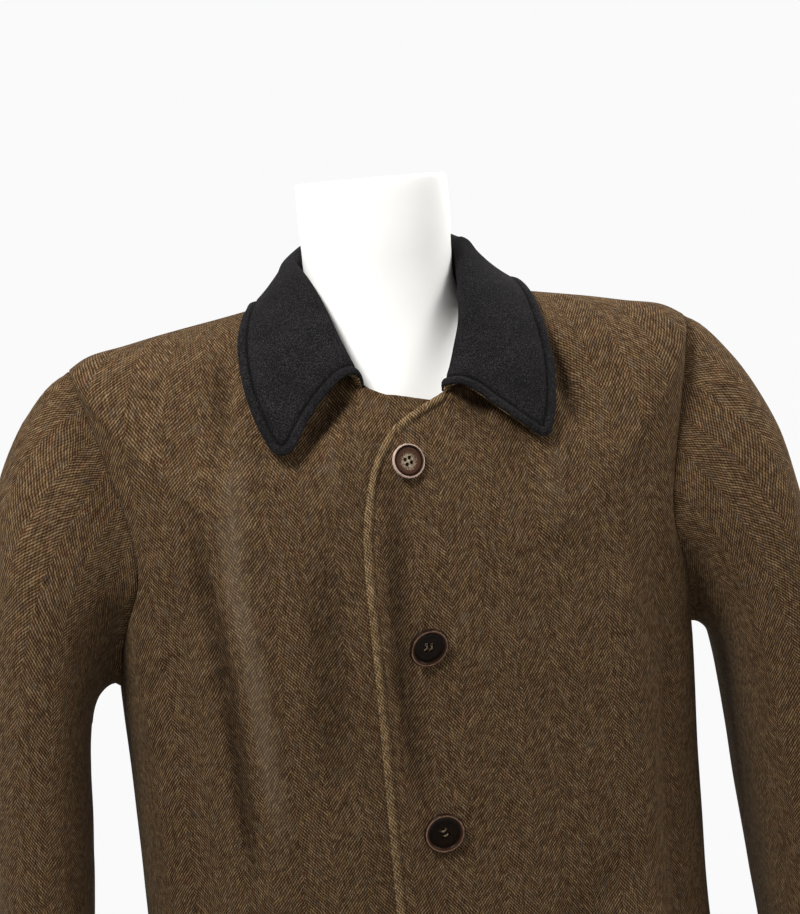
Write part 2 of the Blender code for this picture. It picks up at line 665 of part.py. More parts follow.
def button_matrix(row):
    """Stands a button on the left front, tipped until its lowest point just clears the cloth."""
    place = front_place(row.drop)
    hung = hung_place(place, 0.0, "over")
    angle = angle_across(hung, BUTTON_LINE)
    normal = Vector(figure_normal(hung, angle))
    right = Vector((1.0, 0.0, 0.0))
    up = normal.cross(right)
    frame = Matrix((right, up, normal)).transposed()
    clock = math.radians(row.towards)
    axis = Vector((math.cos(clock), -math.sin(clock), 0.0))
    tilt = Matrix.Rotation(math.radians(-row.tilt), 3, axis)
    lean = math.radians(row.tilt)
    rise = SEAM_GAP + max(radius * math.sin(lean) - height * math.cos(lean)
                          for radius, height in button_profile(row))
    seat = Vector(coat_point(place, angle, 0.0, "over")) + normal * rise
    turn = Matrix.Rotation(math.radians(row.turn), 3, "Z")
    return Matrix.Translation(seat) @ (frame @ tilt @ turn).to_4x4()


def add_button(row, collection, cutters):
    """A dished button with a raised rim and four holes."""
    matrix = button_matrix(row)
    piece = add_turned(row.name, button_profile(row), BUTTON_STEPS, "horn", collection, matrix)
    holes = bmesh.new()
    for across in (-1.0, 1.0):
        for along in (-1.0, 1.0):
            place = Matrix.Translation((across * HOLE_OFFSET, along * HOLE_OFFSET, BUTTON_THICKNESS / 2.0))
            bmesh.ops.create_cone(holes, cap_ends=True, segments=HOLE_STEPS, depth=BUTTON_THICKNESS * 2.0,
                                  radius1=HOLE_DIAMETER / 2.0, radius2=HOLE_DIAMETER / 2.0, matrix=place)
    mesh = bpy.data.meshes.new(row.name + "_holes")
    holes.to_mesh(mesh)
    holes.free()
    cutter = bpy.data.objects.new(row.name + "_holes", mesh)
    cutter.matrix_world = matrix
    cutter.hide_render = True
    cutter.display_type = "WIRE"
    cutters.objects.link(cutter)
    cut = piece.modifiers.new("holes", "BOOLEAN")
    cut.operation = "DIFFERENCE"
    cut.object = cutter


def add_stand(form_bottom, collection):
    """The flange under the form, the pole, and the weighted base plate."""
    soft = STAND_SOFT
    flange_top = form_bottom - SEAM_GAP
    flange_low = flange_top - FLANGE_THICKNESS
    add_turned("form_flange", [
        (0.0, flange_top),
        (FLANGE_RADIUS, flange_top),
        (FLANGE_RADIUS, flange_low + soft),
        (FLANGE_RADIUS - soft, flange_low),
        (0.0, flange_low)], ROUND_STEPS, "steel", collection)
    hub_top = BASE_THICKNESS + HUB_HEIGHT
    add_turned("stand_pole", [
        (0.0, flange_low - SEAM_GAP),
        (POLE_RADIUS, flange_low - SEAM_GAP),
        (POLE_RADIUS, hub_top + SEAM_GAP),
        (0.0, hub_top + SEAM_GAP)], ROUND_STEPS // 2, "steel", collection)
    add_turned("stand_base", [
        (0.0, hub_top),
        (HUB_RADIUS * HUB_NECK - soft, hub_top),
        (HUB_RADIUS * HUB_NECK, hub_top - soft),
        (HUB_RADIUS, BASE_THICKNESS + soft * 2.0),
        (HUB_RADIUS * HUB_FOOT, BASE_THICKNESS + soft / 2.0),
        (BASE_RADIUS - soft * 2.0, BASE_THICKNESS),
        (BASE_RADIUS, BASE_THICKNESS - soft),
        (BASE_RADIUS, soft / 2.0),
        (BASE_RADIUS - soft / 2.0, 0.0),
        (0.0, 0.0)], ROUND_STEPS, "base_enamel", collection)


def new_collection(name):
    collection = bpy.data.collections.new(name)
    bpy.context.scene.collection.children.link(collection)
    return collection


def main():
    for item in list(bpy.data.objects):
        bpy.data.objects.remove(item, do_unlink=True)
    coat = new_collection("wool_coat")
    cutters = new_collection("cutters")
    add_piece("front_left", front_mesh("front_left", 1.0), "tweed", coat)
    add_piece("front_right", front_mesh("front_right", -1.0), "tweed", coat)
    add_piece("back", back_mesh("back"), "tweed", coat)
    add_piece("sleeve_left", sleeve_mesh("sleeve_left", 1.0), "tweed", coat)
    add_piece("sleeve_right", sleeve_mesh("sleeve_right", -1.0), "tweed", coat)
    middle = collar_middle()
    clear = SEAM_GAP / 2.0
    add_piece("collar_top", collar_mesh("collar_top", middle, clear, clear + COLLAR_WALL),
              "melton", coat)
    add_piece("collar_under", collar_mesh("collar_under", middle, -clear - COLLAR_WALL, -clear),
              "tweed", coat)
    for row in BUTTONS:
        add_button(row, coat, cutters)
    form, form_bottom = form_mesh("form_body")
    add_piece("form_body", form, "form_white", coat)
    add_stand(form_bottom, coat)


main()
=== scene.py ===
# %% [markdown]
# # A wool coat on a dress form
#
# The coat is cut from a thick herringbone wool, with a collar of felted wool in charcoal. It is
# buttoned over a smooth white dress form. This lesson dresses the plain solids of that coat: it
# reads each cloth panel back as a grid of points, lays a finer sheet over it, and gives that sheet
# its creases, its rolled and stitched edges and its weave.

# %% Load the plain solids
import math
from collections import namedtuple

import bmesh
import bpy
import numpy as np
from mathutils import Matrix, Vector, noise
from mathutils.bvhtree import BVHTree
from mathutils.kdtree import KDTree


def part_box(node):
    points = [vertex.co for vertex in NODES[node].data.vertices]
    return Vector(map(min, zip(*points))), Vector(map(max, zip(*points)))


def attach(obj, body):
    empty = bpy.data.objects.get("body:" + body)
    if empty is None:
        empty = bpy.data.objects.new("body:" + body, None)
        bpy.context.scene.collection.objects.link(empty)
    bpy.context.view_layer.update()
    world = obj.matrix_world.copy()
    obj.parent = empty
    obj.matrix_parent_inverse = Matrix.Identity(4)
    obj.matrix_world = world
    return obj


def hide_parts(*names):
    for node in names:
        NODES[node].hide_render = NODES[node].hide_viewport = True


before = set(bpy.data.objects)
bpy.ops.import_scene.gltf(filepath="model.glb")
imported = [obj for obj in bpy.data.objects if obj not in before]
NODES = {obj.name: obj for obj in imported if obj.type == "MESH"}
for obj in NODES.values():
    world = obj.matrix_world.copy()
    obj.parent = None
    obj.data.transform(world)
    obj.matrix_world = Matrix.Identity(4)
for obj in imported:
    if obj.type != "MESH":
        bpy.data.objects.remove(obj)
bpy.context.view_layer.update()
print("solids:", ", ".join(sorted(NODES)))

# %% [markdown]
# ## The camera
#
# The view is a close-up of the collar and the first two buttons, from a little above and a little
# to the wearer's right, with the camera rolled slightly. A long lens from two metres away keeps the
# shoulders from looking smaller than the chest. The camera comes first, so that every later step
# can be judged in its frame.

# %% Camera
AIM = Vector((-0.0060, -0.0950, 1.3475))
AZIMUTH, ELEVATION, ROLL = math.radians(-8.0), math.radians(5.0), math.radians(-5.0)
DISTANCE = 2.0


def direction(azimuth, elevation):
    """The way from the coat towards a viewer or a lamp: azimuth 0 is in front of it."""
    return Vector((math.sin(azimuth) * math.cos(elevation),
                   -math.cos(azimuth) * math.cos(elevation), math.sin(elevation)))


def placed(name, data):
    """A new object in the scene, at the origin."""
    thing = bpy.data.objects.new(name, data)
    bpy.context.scene.collection.objects.link(thing)
    return thing


away = direction(AZIMUTH, ELEVATION)
lens = bpy.data.cameras.new("close_up")
lens.lens = 112.5
lens.sensor_width = 36.0
camera = placed("close_up", lens)
camera.matrix_world = (Matrix.Translation(AIM + away * DISTANCE)
                       @ (-away).to_track_quat("-Z", "Y").to_matrix().to_4x4()
                       @ Matrix.Rotation(ROLL, 4, "Z"))
bpy.context.scene.camera = camera
print("camera at", [round(value, 3) for value in camera.matrix_world.translation])

# %% [markdown]
# ## Reading a cloth panel back
#
# Each panel is a thin closed wall, so its mesh has an outer face, an inner face and a narrow rim.
# Every point of the outer face has a twin on the inner face, exactly one wall away, and only a rim
# triangle touches a point and its twin. Without the rim, the two faces fall apart, and one is kept.
# Its rows are then found as rings of neighbours, one after another, from a first row along one of
# its sides. A grid in rows and columns is much easier to refine than loose triangles.

# %% One face of a cloth wall
# Points this close are one: in a stored mesh, whose numbers are rounded, and in a mesh made here.
STORED_CLOSE, MADE_CLOSE = 0.00001, 0.000001
TWIN_SLACK = 1.02


def tree_of(points):
    """A tree that finds the nearest of some points."""
    near = KDTree(len(points))
    for index, point in enumerate(points):
        near.insert(point, index)
    near.balance()
    return near


def cloth_face(node, wall, outer=True):
    """The outer (or inner) face of a panel's wall, as an open sheet of triangles."""
    sheet = bmesh.new()
    sheet.from_mesh(NODES[node].data)
    bmesh.ops.remove_doubles(sheet, verts=sheet.verts, dist=STORED_CLOSE)
    sheet.verts.ensure_lookup_table()
    near = tree_of([vert.co for vert in sheet.verts])
    twin = {}
    for vert in sheet.verts:
        close = near.find_range(vert.co, wall * TWIN_SLACK)
        found = [(abs(gap - wall), index) for _, index, gap in close]
        twin[vert] = sheet.verts[min(found)[1]]
    rim = [face for face in sheet.faces if any(twin[vert] in face.verts for vert in face.verts)]
    bmesh.ops.delete(sheet, geom=rim, context="FACES")
    islands = []
    loose = set(sheet.faces)
    while loose:
        island = [loose.pop()]
        for face in island:
            beside = {other for edge in face.edges for other in edge.link_faces} & loose
            loose -= beside
            island.extend(beside)
        islands.append(island)
    islands.sort(key=lambda island: sum(face.calc_area() for face in island), reverse=outer)
    bmesh.ops.delete(sheet, geom=[face for island in islands[1:] for face in island], context="FACES")
    return sheet


# %% Rows and columns
def open_sides(sheet):
    """The sheet's open edges: chains of points from corner to corner, or whole loops."""
    edges = [edge for edge in sheet.edges if edge.is_boundary]
    corners = {vert for vert in sheet.verts if vert.is_boundary and len(vert.link_edges) < 4}
    chains = []
    while edges:
        ends = (vert for edge in edges for vert in edge.verts if vert in corners)
        chain = [next(ends, edges[0].verts[0])]
        while len(chain) == 1 or chain[-1] not in corners:
            step = next((edge for edge in edges if chain[-1] in edge.verts), None)
            if step is None:
                break
            edges.remove(step)
            chain.append(step.other_vert(chain[-1]))
        chains.append(chain if chain[0] != chain[-1] else chain[:-1])
    return chains


def next_row(ring, before):
    """The points of a ring in the order of the row before it."""
    beside = {vert: [edge.other_vert(vert) for edge in vert.link_edges] for vert in ring}
    beside = {vert: [other for other in others if other in ring] for vert, others in beside.items()}
    ends = [vert for vert in ring if len(beside[vert]) == 1]
    row = [min(ends or ring, key=lambda vert: (vert.co - before[0].co).length)]
    while len(row) < len(ring):
        row.append(next(vert for vert in beside[row[-1]] if vert not in row))
    if ends:
        return row
    turns = [way[shift:] + way[:shift] for way in (row, row[::-1]) for shift in range(len(row))]
    return min(turns, key=lambda turn: sum((a.co - b.co).length for a, b in zip(turn, before)))


def read_grid(node, sheet, first, begin):
    """A sheet's points in rows. The first row is the open side where `first` is largest, and it
    begins at its point where `begin` is largest. A loop is cut open there and repeats that point."""
    row = max(open_sides(sheet), key=lambda chain: np.mean([first(vert.co) for vert in chain]))
    loop = any(edge.other_vert(row[0]) is row[-1] for edge in row[0].link_edges)
    start = max(range(len(row)) if loop else (0, len(row) - 1), key=lambda index: begin(row[index].co))
    row = row[start:] + row[:start] if loop else row[::1 if start == 0 else -1]
    rows = [row]
    seen = set(row)
    while True:
        ring = {edge.other_vert(vert) for vert in rows[-1] for edge in vert.link_edges} - seen
        if not ring:
            break
        seen |= ring
        rows.append(next_row(ring, rows[-1]))
    grid = np.array([[vert.co for vert in (row + row[:1] if loop else row)] for row in rows])
    sheet.normal_update()
    outwards = np.array([[vert.normal for vert in (row + row[:1] if loop else row)] for row in rows])
    facing = np.cross(np.gradient(grid, axis=1), np.gradient(grid, axis=0)) * outwards
    sheet.free()
    print(f"{node}: {grid.shape[0]} rows of {grid.shape[1]} points")
    return grid, math.copysign(1.0, facing.sum())


# %% Read the panels
WALL, COLLAR_WALL = 0.003, 0.002
GRIDS, FACINGS = {}, {}
for node, wall, outer, first, begin in (
        ("front_left", WALL, True, lambda at: at.z, lambda at: -at.x),
        ("front_right", WALL, True, lambda at: at.z, lambda at: at.x),
        ("back", WALL, True, lambda at: at.z, lambda at: at.x),
        ("sleeve_left", WALL, True, lambda at: at.z, lambda at: -at.z),
        ("sleeve_right", WALL, True, lambda at: at.z, lambda at: -at.z),
        ("collar_top", COLLAR_WALL, True, lambda at: -at.x, lambda at: at.x),
        ("collar_under", COLLAR_WALL, False, lambda at: -at.x, lambda at: at.x)):
    GRIDS[node], FACINGS[node] = read_grid(node, cloth_face(node, wall, outer), first, begin)

# %% [markdown]
# ## The hang of the collar
#
# A collar is the part that a wearer's hands pull at most, so it hangs unevenly: one end rolls over
# the neckline in an open arch, the other lies flatter, and the roll sits lower on one side of the
# neck. The plain solids are nearly even. The tables below give the columns of the grid, from the
# seam at the neck, over the roll, to the outer edge. The first draws an end forward along the cloth,
# and the others move it across and up the picture and nearer to the viewer, all in millimetres. The
# roll tables lower the roll and draw it in, row by row, and the fall tables let the outer edge down
# near the wearer's right shoulder. The top corner of the left front is turned up in the same way, to
# meet the collar's end.

# %% Set the collar's ends and its roll
ACROSS, UPWARDS, NEARER = (np.array(camera.matrix_world.col[axis][:3]) for axis in range(3))
RIGHT_FORWARD = (6.0, 7.0, 8.0, 8.0, 5.5, 2.5, 0.8, 1.0, 3.0, 4.8, 5.2, 4.2, 2.0)
RIGHT_ACROSS = (0.0, -1.4, -2.8, -4.2, -4.2, -3.5, -3.5, -4.0, -1.0, 0.0, 0.0, 0.7, 1.4)
RIGHT_UP = (-0.7, -0.5, 0.0, 0.7, -1.4, -3.2, -4.2, -3.2, 1.8, 3.0, 0.0, -4.0, -11.5)
RIGHT_NEARER = (0.2, 0.2, 0.0, 0.0, 0.4, 1.0, 1.3, 1.6, 2.0, 2.0, 1.5, 2.0, 3.5)
LEFT_FORWARD = (0.5, 0.5, 0.5, 0.5, 0.3, 0.0, 0.0, -2.2, -2.8, 0.9, 2.7, 3.1, 4.0)
LEFT_ACROSS = (1.0, 1.0, 2.0, 3.0, 3.0, 2.2, 0.8, 0.7, 0.0, 0.0, 0.5, 2.2, 5.6)
LEFT_UP = (6.0, 5.8, 5.5, 5.4, 3.2, 1.6, 1.8, 1.8, 1.3, 0.5, 0.5, 0.8, -2.0)
LEFT_NEARER = (0.0, 0.0, 0.0, 0.0, 0.4, 1.0, 1.6, 2.4, 3.2, 3.0, 2.2, 1.2, 0.8)
ROLL_ACROSS = (0.0, 0.30, 0.70, 1.0, 1.0, 1.0, 0.95, 0.85, 0.55, 0.28, 0.10, 0.0, 0.0)
ROLL_UP = (0.0, 0.1, 0.4, 0.8, 1.0, 1.0, 1.0, 1.0, 0.88, 0.68, 0.50, 0.42, 0.38)
ROLL_ROWS_ACROSS = {22: -0.8, 23: -2.4, 24: -5.0, 25: -3.6, 26: -0.8}
ROLL_ROWS_UP = {4: -0.8, 5: -2.8, 6: -5.4, 7: -5.8, 8: -5.8, 9: -5.0, 10: -3.6, 11: -2.2, 12: -1.0}
FALL_COLUMNS = (0.0, 0.0, 0.0, 0.0, 0.0, 0.0, 0.0, 0.0, 0.0, 0.10, 0.45, 0.80, 1.0)
FALL_ROWS = {4: 0.2, 5: 0.7, 6: 1.0, 7: 1.0, 8: 0.9, 9: 0.5, 10: 0.2}
FALL_ACROSS, FALL_UP = 2.2, -1.7
# An end's move fades over its first three rows.
FORWARD_FADE, SHIFT_FADE = (1.0, 0.62, 0.26), (1.0, 0.40, 0.08)


def moved(numbers, heading):
    """A table of millimetres as steps in one direction."""
    return 0.001 * np.array(numbers)[:, None] * heading


for node in ("collar_top", "collar_under"):
    grid = GRIDS[node]
    for rows, forward, across, up, nearer in (
            ((0, 1, 2, 4), RIGHT_FORWARD, RIGHT_ACROSS, RIGHT_UP, RIGHT_NEARER),
            ((-1, -2, -3, -5), LEFT_FORWARD, LEFT_ACROSS, LEFT_UP, LEFT_NEARER)):
        along = grid[rows[0]] - grid[rows[3]]
        along /= np.linalg.norm(along, axis=1)[:, None]
        shift = moved(across, ACROSS) + moved(up, UPWARDS) + moved(nearer, NEARER)
        for row, reach, share in zip(rows, FORWARD_FADE, SHIFT_FADE):
            grid[row] += moved(forward, along) * reach + shift * share
    for row, step in ROLL_ROWS_ACROSS.items():
        grid[row] += moved(ROLL_ACROSS, ACROSS) * step
    for row, step in ROLL_ROWS_UP.items():
        grid[row] += moved(ROLL_UP, UPWARDS) * step
    for row, step in FALL_ROWS.items():
        grid[row] += moved(FALL_COLUMNS, FALL_ACROSS * ACROSS + FALL_UP * UPWARDS) * step
print("collar hung, its points moved by up to", max(map(abs, RIGHT_UP)), "mm")

# %% Turn the top corner of the left front
CORNER_UP = (1.9, 6.1, 6.8, 5.1, 2.6, 0.4)
CORNER_ROWS = (1.0, 0.66, 0.32, 0.10)
EDGE_ACROSS = (0.0, -2.4, -1.4, -0.7, 0.0, 1.2, 2.0, 2.2, 1.2, 0.4)
EDGE_COLUMNS = (1.0, 0.5, 0.12)

grid = GRIDS["front_left"]
for row, share in enumerate(CORNER_ROWS):
    grid[row, :len(CORNER_UP)] += moved(CORNER_UP, UPWARDS) * share
for column, share in enumerate(EDGE_COLUMNS):
    grid[:len(EDGE_ACROSS), column] += moved(EDGE_ACROSS, ACROSS) * share
print("front corner raised by up to", max(CORNER_UP), "mm")

# %% [markdown]
# ## A finer sheet over the same points
#
# A finer grid is read from smooth curves through the panel's points, so it keeps the panel's exact
# place and loses its facets. The rows and columns stand closer at the free edges, where the cloth is
# rolled and stitched. At the shoulder tip and under the arm a panel's side turns a sharp corner, and
# there the curve is allowed to break.

# %% Smooth curves through a table of points
def through(places, values, at, corners=(), sharp=0.0):
    """Reads a smooth curve through values, along their first axis, at other places."""
    spans = np.diff(places).reshape((-1,) + (1,) * (values.ndim - 1))
    rises = np.diff(values, axis=0) / spans
    inner = (rises[:-1] * spans[1:] + rises[1:] * spans[:-1]) / (spans[1:] + spans[:-1])
    slopes = np.concatenate((rises[:1], inner, rises[-1:]))
    before, after = slopes.copy(), slopes.copy()
    for corner in corners:
        before[corner] += sharp * (rises[corner - 1] - slopes[corner])
        after[corner] += sharp * (rises[corner] - slopes[corner])
    low = np.clip(np.searchsorted(places, at, side="right") - 1, 0, len(places) - 2)
    share = ((at - places[low]) / np.diff(places)[low]).reshape((-1,) + (1,) * (values.ndim - 1))
    rest = 1.0 - share
    return (values[low] * rest ** 2 * (1.0 + 2.0 * share)
            + values[low + 1] * share ** 2 * (1.0 + 2.0 * rest)
            + spans[low] * share * rest * (after[low] * rest - before[low + 1] * share))


EDGE_STEPS = 0.001 * np.array(
    (0.0, 0.35, 0.8, 1.4, 2.2, 3.2, 4.2, 5.2, 6.0, 6.5, 7.0, 7.5, 8.1, 9.0, 10.4, 12.2, 14.5))


def spaced(length, step, fine_start=False, fine_end=False):
    """Places from 0 to a length, a step apart, and closer at a stitched edge."""
    start = EDGE_STEPS if fine_start else np.zeros(1)
    end = length - EDGE_STEPS[::-1] if fine_end else np.full(1, length)
    count = max(2, int(round((end[0] - start[-1]) / step)))
    return np.concatenate((start, np.linspace(start[-1], end[0], count + 1)[1:-1], end))


def run_lengths(grid, axis):
    """The mean distance along a grid to each of its rows or columns."""
    gaps = np.linalg.norm(np.diff(grid, axis=axis), axis=2).mean(axis=1 - axis)
    return np.concatenate(((0.0,), np.cumsum(gaps)))


# %% [markdown]
# ## Laid flat on the grain
#
# A weave follows the cloth as it was cut, not as it hangs. Each panel is therefore unwrapped, which
# gives nearly the flat piece that a cutter would chalk. The flat piece is scaled to metres and
# turned until its threads run along one column of the grid: the front edge of a front, the middle
# of the back, the top of a sleeve. Its places become the panel's UV map, named grain.

# %% Unwrap a panel and scale it to metres
def grid_sheet(points):
    """A bmesh sheet of quads over a grid of points, each vertex with its number in the grid."""
    rows, columns = points.shape[:2]
    sheet = bmesh.new()
    number = sheet.verts.layers.int.new("number")
    bmesh.ops.create_grid(sheet, x_segments=columns - 1, y_segments=rows - 1, size=1.0)
    for index, (vert, point) in enumerate(zip(sheet.verts, points.reshape(-1, 3))):
        vert.co = point
        vert[number] = index
    return sheet


def finished(name, shape):
    """A mesh from a bmesh, which is freed."""
    mesh = bpy.data.meshes.new(name)
    shape.to_mesh(mesh)
    shape.free()
    return mesh


def area_of(corners):
    """The area of a row of quads given by their corners, flat or in space."""
    first, second = corners[:, 2] - corners[:, 0], corners[:, 3] - corners[:, 1]
    if corners.shape[2] == 2:
        return np.abs(first[:, 0] * second[:, 1] - first[:, 1] * second[:, 0]).sum() / 2.0
    return np.linalg.norm(np.cross(first, second), axis=1).sum() / 2.0


def lay_flat(grid, grain_column):
    """Places on the flat cloth for a panel's grid, in metres: to the wearer's left and upwards."""
    mesh = finished("flat_piece", grid_sheet(grid))
    mesh.uv_layers.new(name="grain")
    piece = placed("flat_piece", mesh)
    bpy.context.view_layer.objects.active = piece
    bpy.ops.object.mode_set(mode="EDIT")
    bpy.ops.mesh.select_all(action="SELECT")
    bpy.ops.uv.unwrap(method="ANGLE_BASED")
    bpy.ops.object.mode_set(mode="OBJECT")
    corners = np.array([face.vertices[:] for face in mesh.polygons])
    flat = np.zeros((len(mesh.vertices), 2))
    flat[corners.ravel()] = [loop.vector for loop in mesh.uv_layers["grain"].uv]
    flat *= math.sqrt(area_of(grid.reshape(-1, 3)[corners]) / area_of(flat[corners]))
    bpy.data.objects.remove(piece)
    bpy.data.meshes.remove(mesh)
    flat = flat.reshape(grid.shape[:2] + (2,))
    up = flat[len(flat) // 3, grain_column] - flat[-1, grain_column]
    up /= np.linalg.norm(up)
    flat = np.stack((flat @ np.array((up[1], -up[0])), flat @ up), axis=2)
    if (flat[-1, -1, 0] - flat[-1, 0, 0]) * (grid[-1, -1, 0] - grid[-1, 0, 0]) < 0.0:
        flat[:, :, 0] *= -1.0
    return flat - flat[-1, 0]


# %% Lay every panel flat
GRAIN_COLUMNS = {"front_left": 0, "front_right": 0, "back": 10, "sleeve_left": 8, "sleeve_right": 8,
                 "collar_top": 6, "collar_under": 6}
GRAIN_SHIFTS = {"front_left": -0.0142, "front_right": -0.0117}
FLATS = {}
for node, column in GRAIN_COLUMNS.items():
    FLATS[node] = lay_flat(GRIDS[node], column) + (GRAIN_SHIFTS.get(node, 0.0), 0.0)
    size = np.ptp(FLATS[node].reshape(-1, 2), axis=0)
    print(f"{node}: {size[0] * 1000:.0f} x {size[1] * 1000:.0f} mm laid flat")

# %% [markdown]
# ## Creases, one by one
#
# Thick wool doesn't crumple, it bends in a few soft folds. The large ones, over the chest and down
# the skirts, are in the panels already. The smaller ones are listed here one by one, each as a line
# on the cloth with its own width and depth, so that no two are alike. A minus depth is a trough. A
# cloth simulation would put folds wherever it liked, and these have their places.

# %% Soft troughs and ridges
Crease = namedtuple("Crease", "line width depth")
FADE_POWER = 2.5


def run_along(line):
    """The distance along a line to each of its points."""
    return np.concatenate(((0.0,), np.cumsum(np.linalg.norm(np.diff(line, axis=0), axis=1))))


def crease_depth(crease, places):
    """How far one crease moves the cloth at each place, from its distance to the crease's line."""
    line = np.array(crease.line)
    runs = run_along(line)
    best = np.full(places.shape[:2], np.inf)
    run = np.zeros(places.shape[:2])
    for start, end, at in zip(line[:-1], line[1:], runs):
        along = np.clip(((places - start) @ (end - start)) / ((end - start) @ (end - start)), 0.0, 1.0)
        gap = np.linalg.norm(places - start - along[..., None] * (end - start), axis=2)
        run = np.where(gap < best, (at + along * np.linalg.norm(end - start)) / runs[-1], run)
        best = np.minimum(best, gap)
    fade = 1.0 - np.abs(2.0 * run - 1.0) ** FADE_POWER
    return crease.depth * fade * np.exp(-(best / crease.width) ** 2)


# %% The creases, panel by panel
FRONT_CREASES = (
    Crease(((-0.1195, 1.432), (-0.1225, 1.415), (-0.1265, 1.387), (-0.1320, 1.345)), 0.0075, -0.0058),
    Crease(((-0.1130, 1.410), (-0.1185, 1.376), (-0.1270, 1.314), (-0.1300, 1.272), (-0.1270, 1.216),
            (-0.1205, 1.163), (-0.1150, 1.080), (-0.1130, 1.010)), 0.0125, 0.0058),
    Crease(((-0.1540, 1.330), (-0.1490, 1.266), (-0.1440, 1.224), (-0.1395, 1.159), (-0.1370, 1.080),
            (-0.1360, 1.000)), 0.0095, -0.0092),
    Crease(((-0.0620, 1.320), (-0.0680, 1.250), (-0.0720, 1.180), (-0.0740, 1.090)), 0.0200, -0.0046),
    Crease(((-0.0360, 1.398), (-0.0556, 1.379), (-0.0785, 1.358)), 0.0085, -0.0055),
    Crease(((0.1150, 1.425), (0.1187, 1.4095), (0.1231, 1.3844), (0.1290, 1.352)), 0.0075, -0.0072),
    Crease(((0.1090, 1.365), (0.1065, 1.348), (0.1003, 1.307), (0.1010, 1.275)), 0.0110, 0.0032),
    Crease(((-0.0500, 1.372), (-0.0540, 1.345), (-0.0580, 1.300)), 0.0100, 0.0030),
    Crease(((-0.0110, 1.352), (-0.0145, 1.300), (-0.0185, 1.250), (-0.0200, 1.185), (-0.0120, 1.080)),
           0.0105, -0.0062),
    Crease(((0.0430, 1.390), (0.0550, 1.382), (0.0680, 1.371)), 0.0080, -0.0060),
    Crease(((0.145, 1.060), (0.105, 1.010), (0.060, 0.985)), 0.016, -0.0052),
    Crease(((0.160, 1.010), (0.120, 0.960), (0.085, 0.930)), 0.013, 0.0044),
    Crease(((-0.150, 1.020), (-0.110, 0.985), (-0.062, 0.975)), 0.014, -0.0052),
    Crease(((-0.090, 0.930), (-0.084, 0.800), (-0.096, 0.660), (-0.104, 0.400)), 0.024, 0.0085),
    Crease(((0.082, 0.900), (0.094, 0.780), (0.098, 0.650), (0.112, 0.420)), 0.027, 0.0078),
    Crease(((0.140, 0.880), (0.152, 0.760), (0.158, 0.640), (0.170, 0.430)), 0.018, -0.0060),
    Crease(((-0.142, 0.900), (-0.154, 0.770), (-0.158, 0.640), (-0.172, 0.410)), 0.019, -0.0064),
)
BACK_CREASES = (
    Crease(((-0.170, 1.330), (-0.130, 1.290), (-0.085, 1.270)), 0.013, -0.0055),
    Crease(((0.172, 1.315), (0.128, 1.262), (0.094, 1.238)), 0.014, -0.0055),
    Crease(((-0.060, 1.385), (-0.010, 1.376), (0.050, 1.383)), 0.010, -0.0040),
    Crease(((-0.125, 1.060), (-0.060, 1.035), (0.004, 1.040)), 0.015, -0.0055),
    Crease(((0.120, 1.025), (0.066, 1.004), (0.014, 1.010)), 0.013, -0.0052),
    Crease(((-0.060, 0.960), (-0.072, 0.830), (-0.078, 0.660), (-0.090, 0.400)), 0.026, 0.0105),
    Crease(((0.074, 0.940), (0.080, 0.800), (0.098, 0.650), (0.110, 0.420)), 0.029, 0.0096),
    Crease(((0.010, 0.930), (0.016, 0.790), (0.012, 0.640), (0.016, 0.380)), 0.022, -0.0072),
    Crease(((-0.130, 0.900), (-0.142, 0.760), (-0.150, 0.620), (-0.162, 0.410)), 0.021, -0.0070),
    Crease(((0.146, 0.860), (0.156, 0.730), (0.160, 0.600), (0.172, 0.420)), 0.019, -0.0060),
)
SLEEVE_CREASES = {
    "sleeve_left": (
        Crease(((0.075, 0.330), (0.125, 0.352), (0.175, 0.338)), 0.010, -0.0065),
        Crease(((0.090, 0.300), (0.130, 0.312), (0.190, 0.300)), 0.009, 0.0044),
        Crease(((0.060, 0.268), (0.120, 0.282), (0.165, 0.270)), 0.010, -0.0061),
        Crease(((0.100, 0.405), (0.150, 0.430), (0.185, 0.426)), 0.012, -0.0051),
        Crease(((0.255, 0.300), (0.300, 0.286), (0.345, 0.292)), 0.012, -0.0044),
        Crease(((0.120, 0.150), (0.170, 0.166), (0.215, 0.160)), 0.013, -0.0044),
        Crease(((0.215, 0.540), (0.208, 0.470), (0.220, 0.400)), 0.014, 0.0041),
    ),
    "sleeve_right": (
        Crease(((0.260, 0.345), (0.305, 0.362), (0.352, 0.350)), 0.010, -0.0065),
        Crease(((0.250, 0.312), (0.300, 0.324), (0.340, 0.318)), 0.009, 0.0044),
        Crease(((0.262, 0.276), (0.310, 0.292), (0.366, 0.284)), 0.011, -0.0065),
        Crease(((0.245, 0.430), (0.280, 0.438), (0.330, 0.412)), 0.012, -0.0048),
        Crease(((0.080, 0.318), (0.130, 0.302), (0.170, 0.306)), 0.012, -0.0041),
        Crease(((0.220, 0.176), (0.265, 0.184), (0.310, 0.168)), 0.012, -0.0044),
        Crease(((0.206, 0.548), (0.216, 0.480), (0.204, 0.410)), 0.014, 0.0041),
    ),
}
print("creases:", len(FRONT_CREASES) + len(BACK_CREASES) + sum(map(len, SLEEVE_CREASES.values())))

# %% [markdown]
# ## Rolled, stitched edges
#
# The collar, the front edges, the hem and the cuffs are turned under and held by a row of stitches
# seven millimetres in. Thick wool puffs up between that row and the edge, and dips along the row. A
# sewn seam dips too, where one panel turns in against the next. Each point's distance to the nearest
# free edge and to the nearest seam gives both, so the roll keeps its width round every corner.

# %% Distances to the edges
DOT_STEP, NOWHERE = 0.0005, 99.0


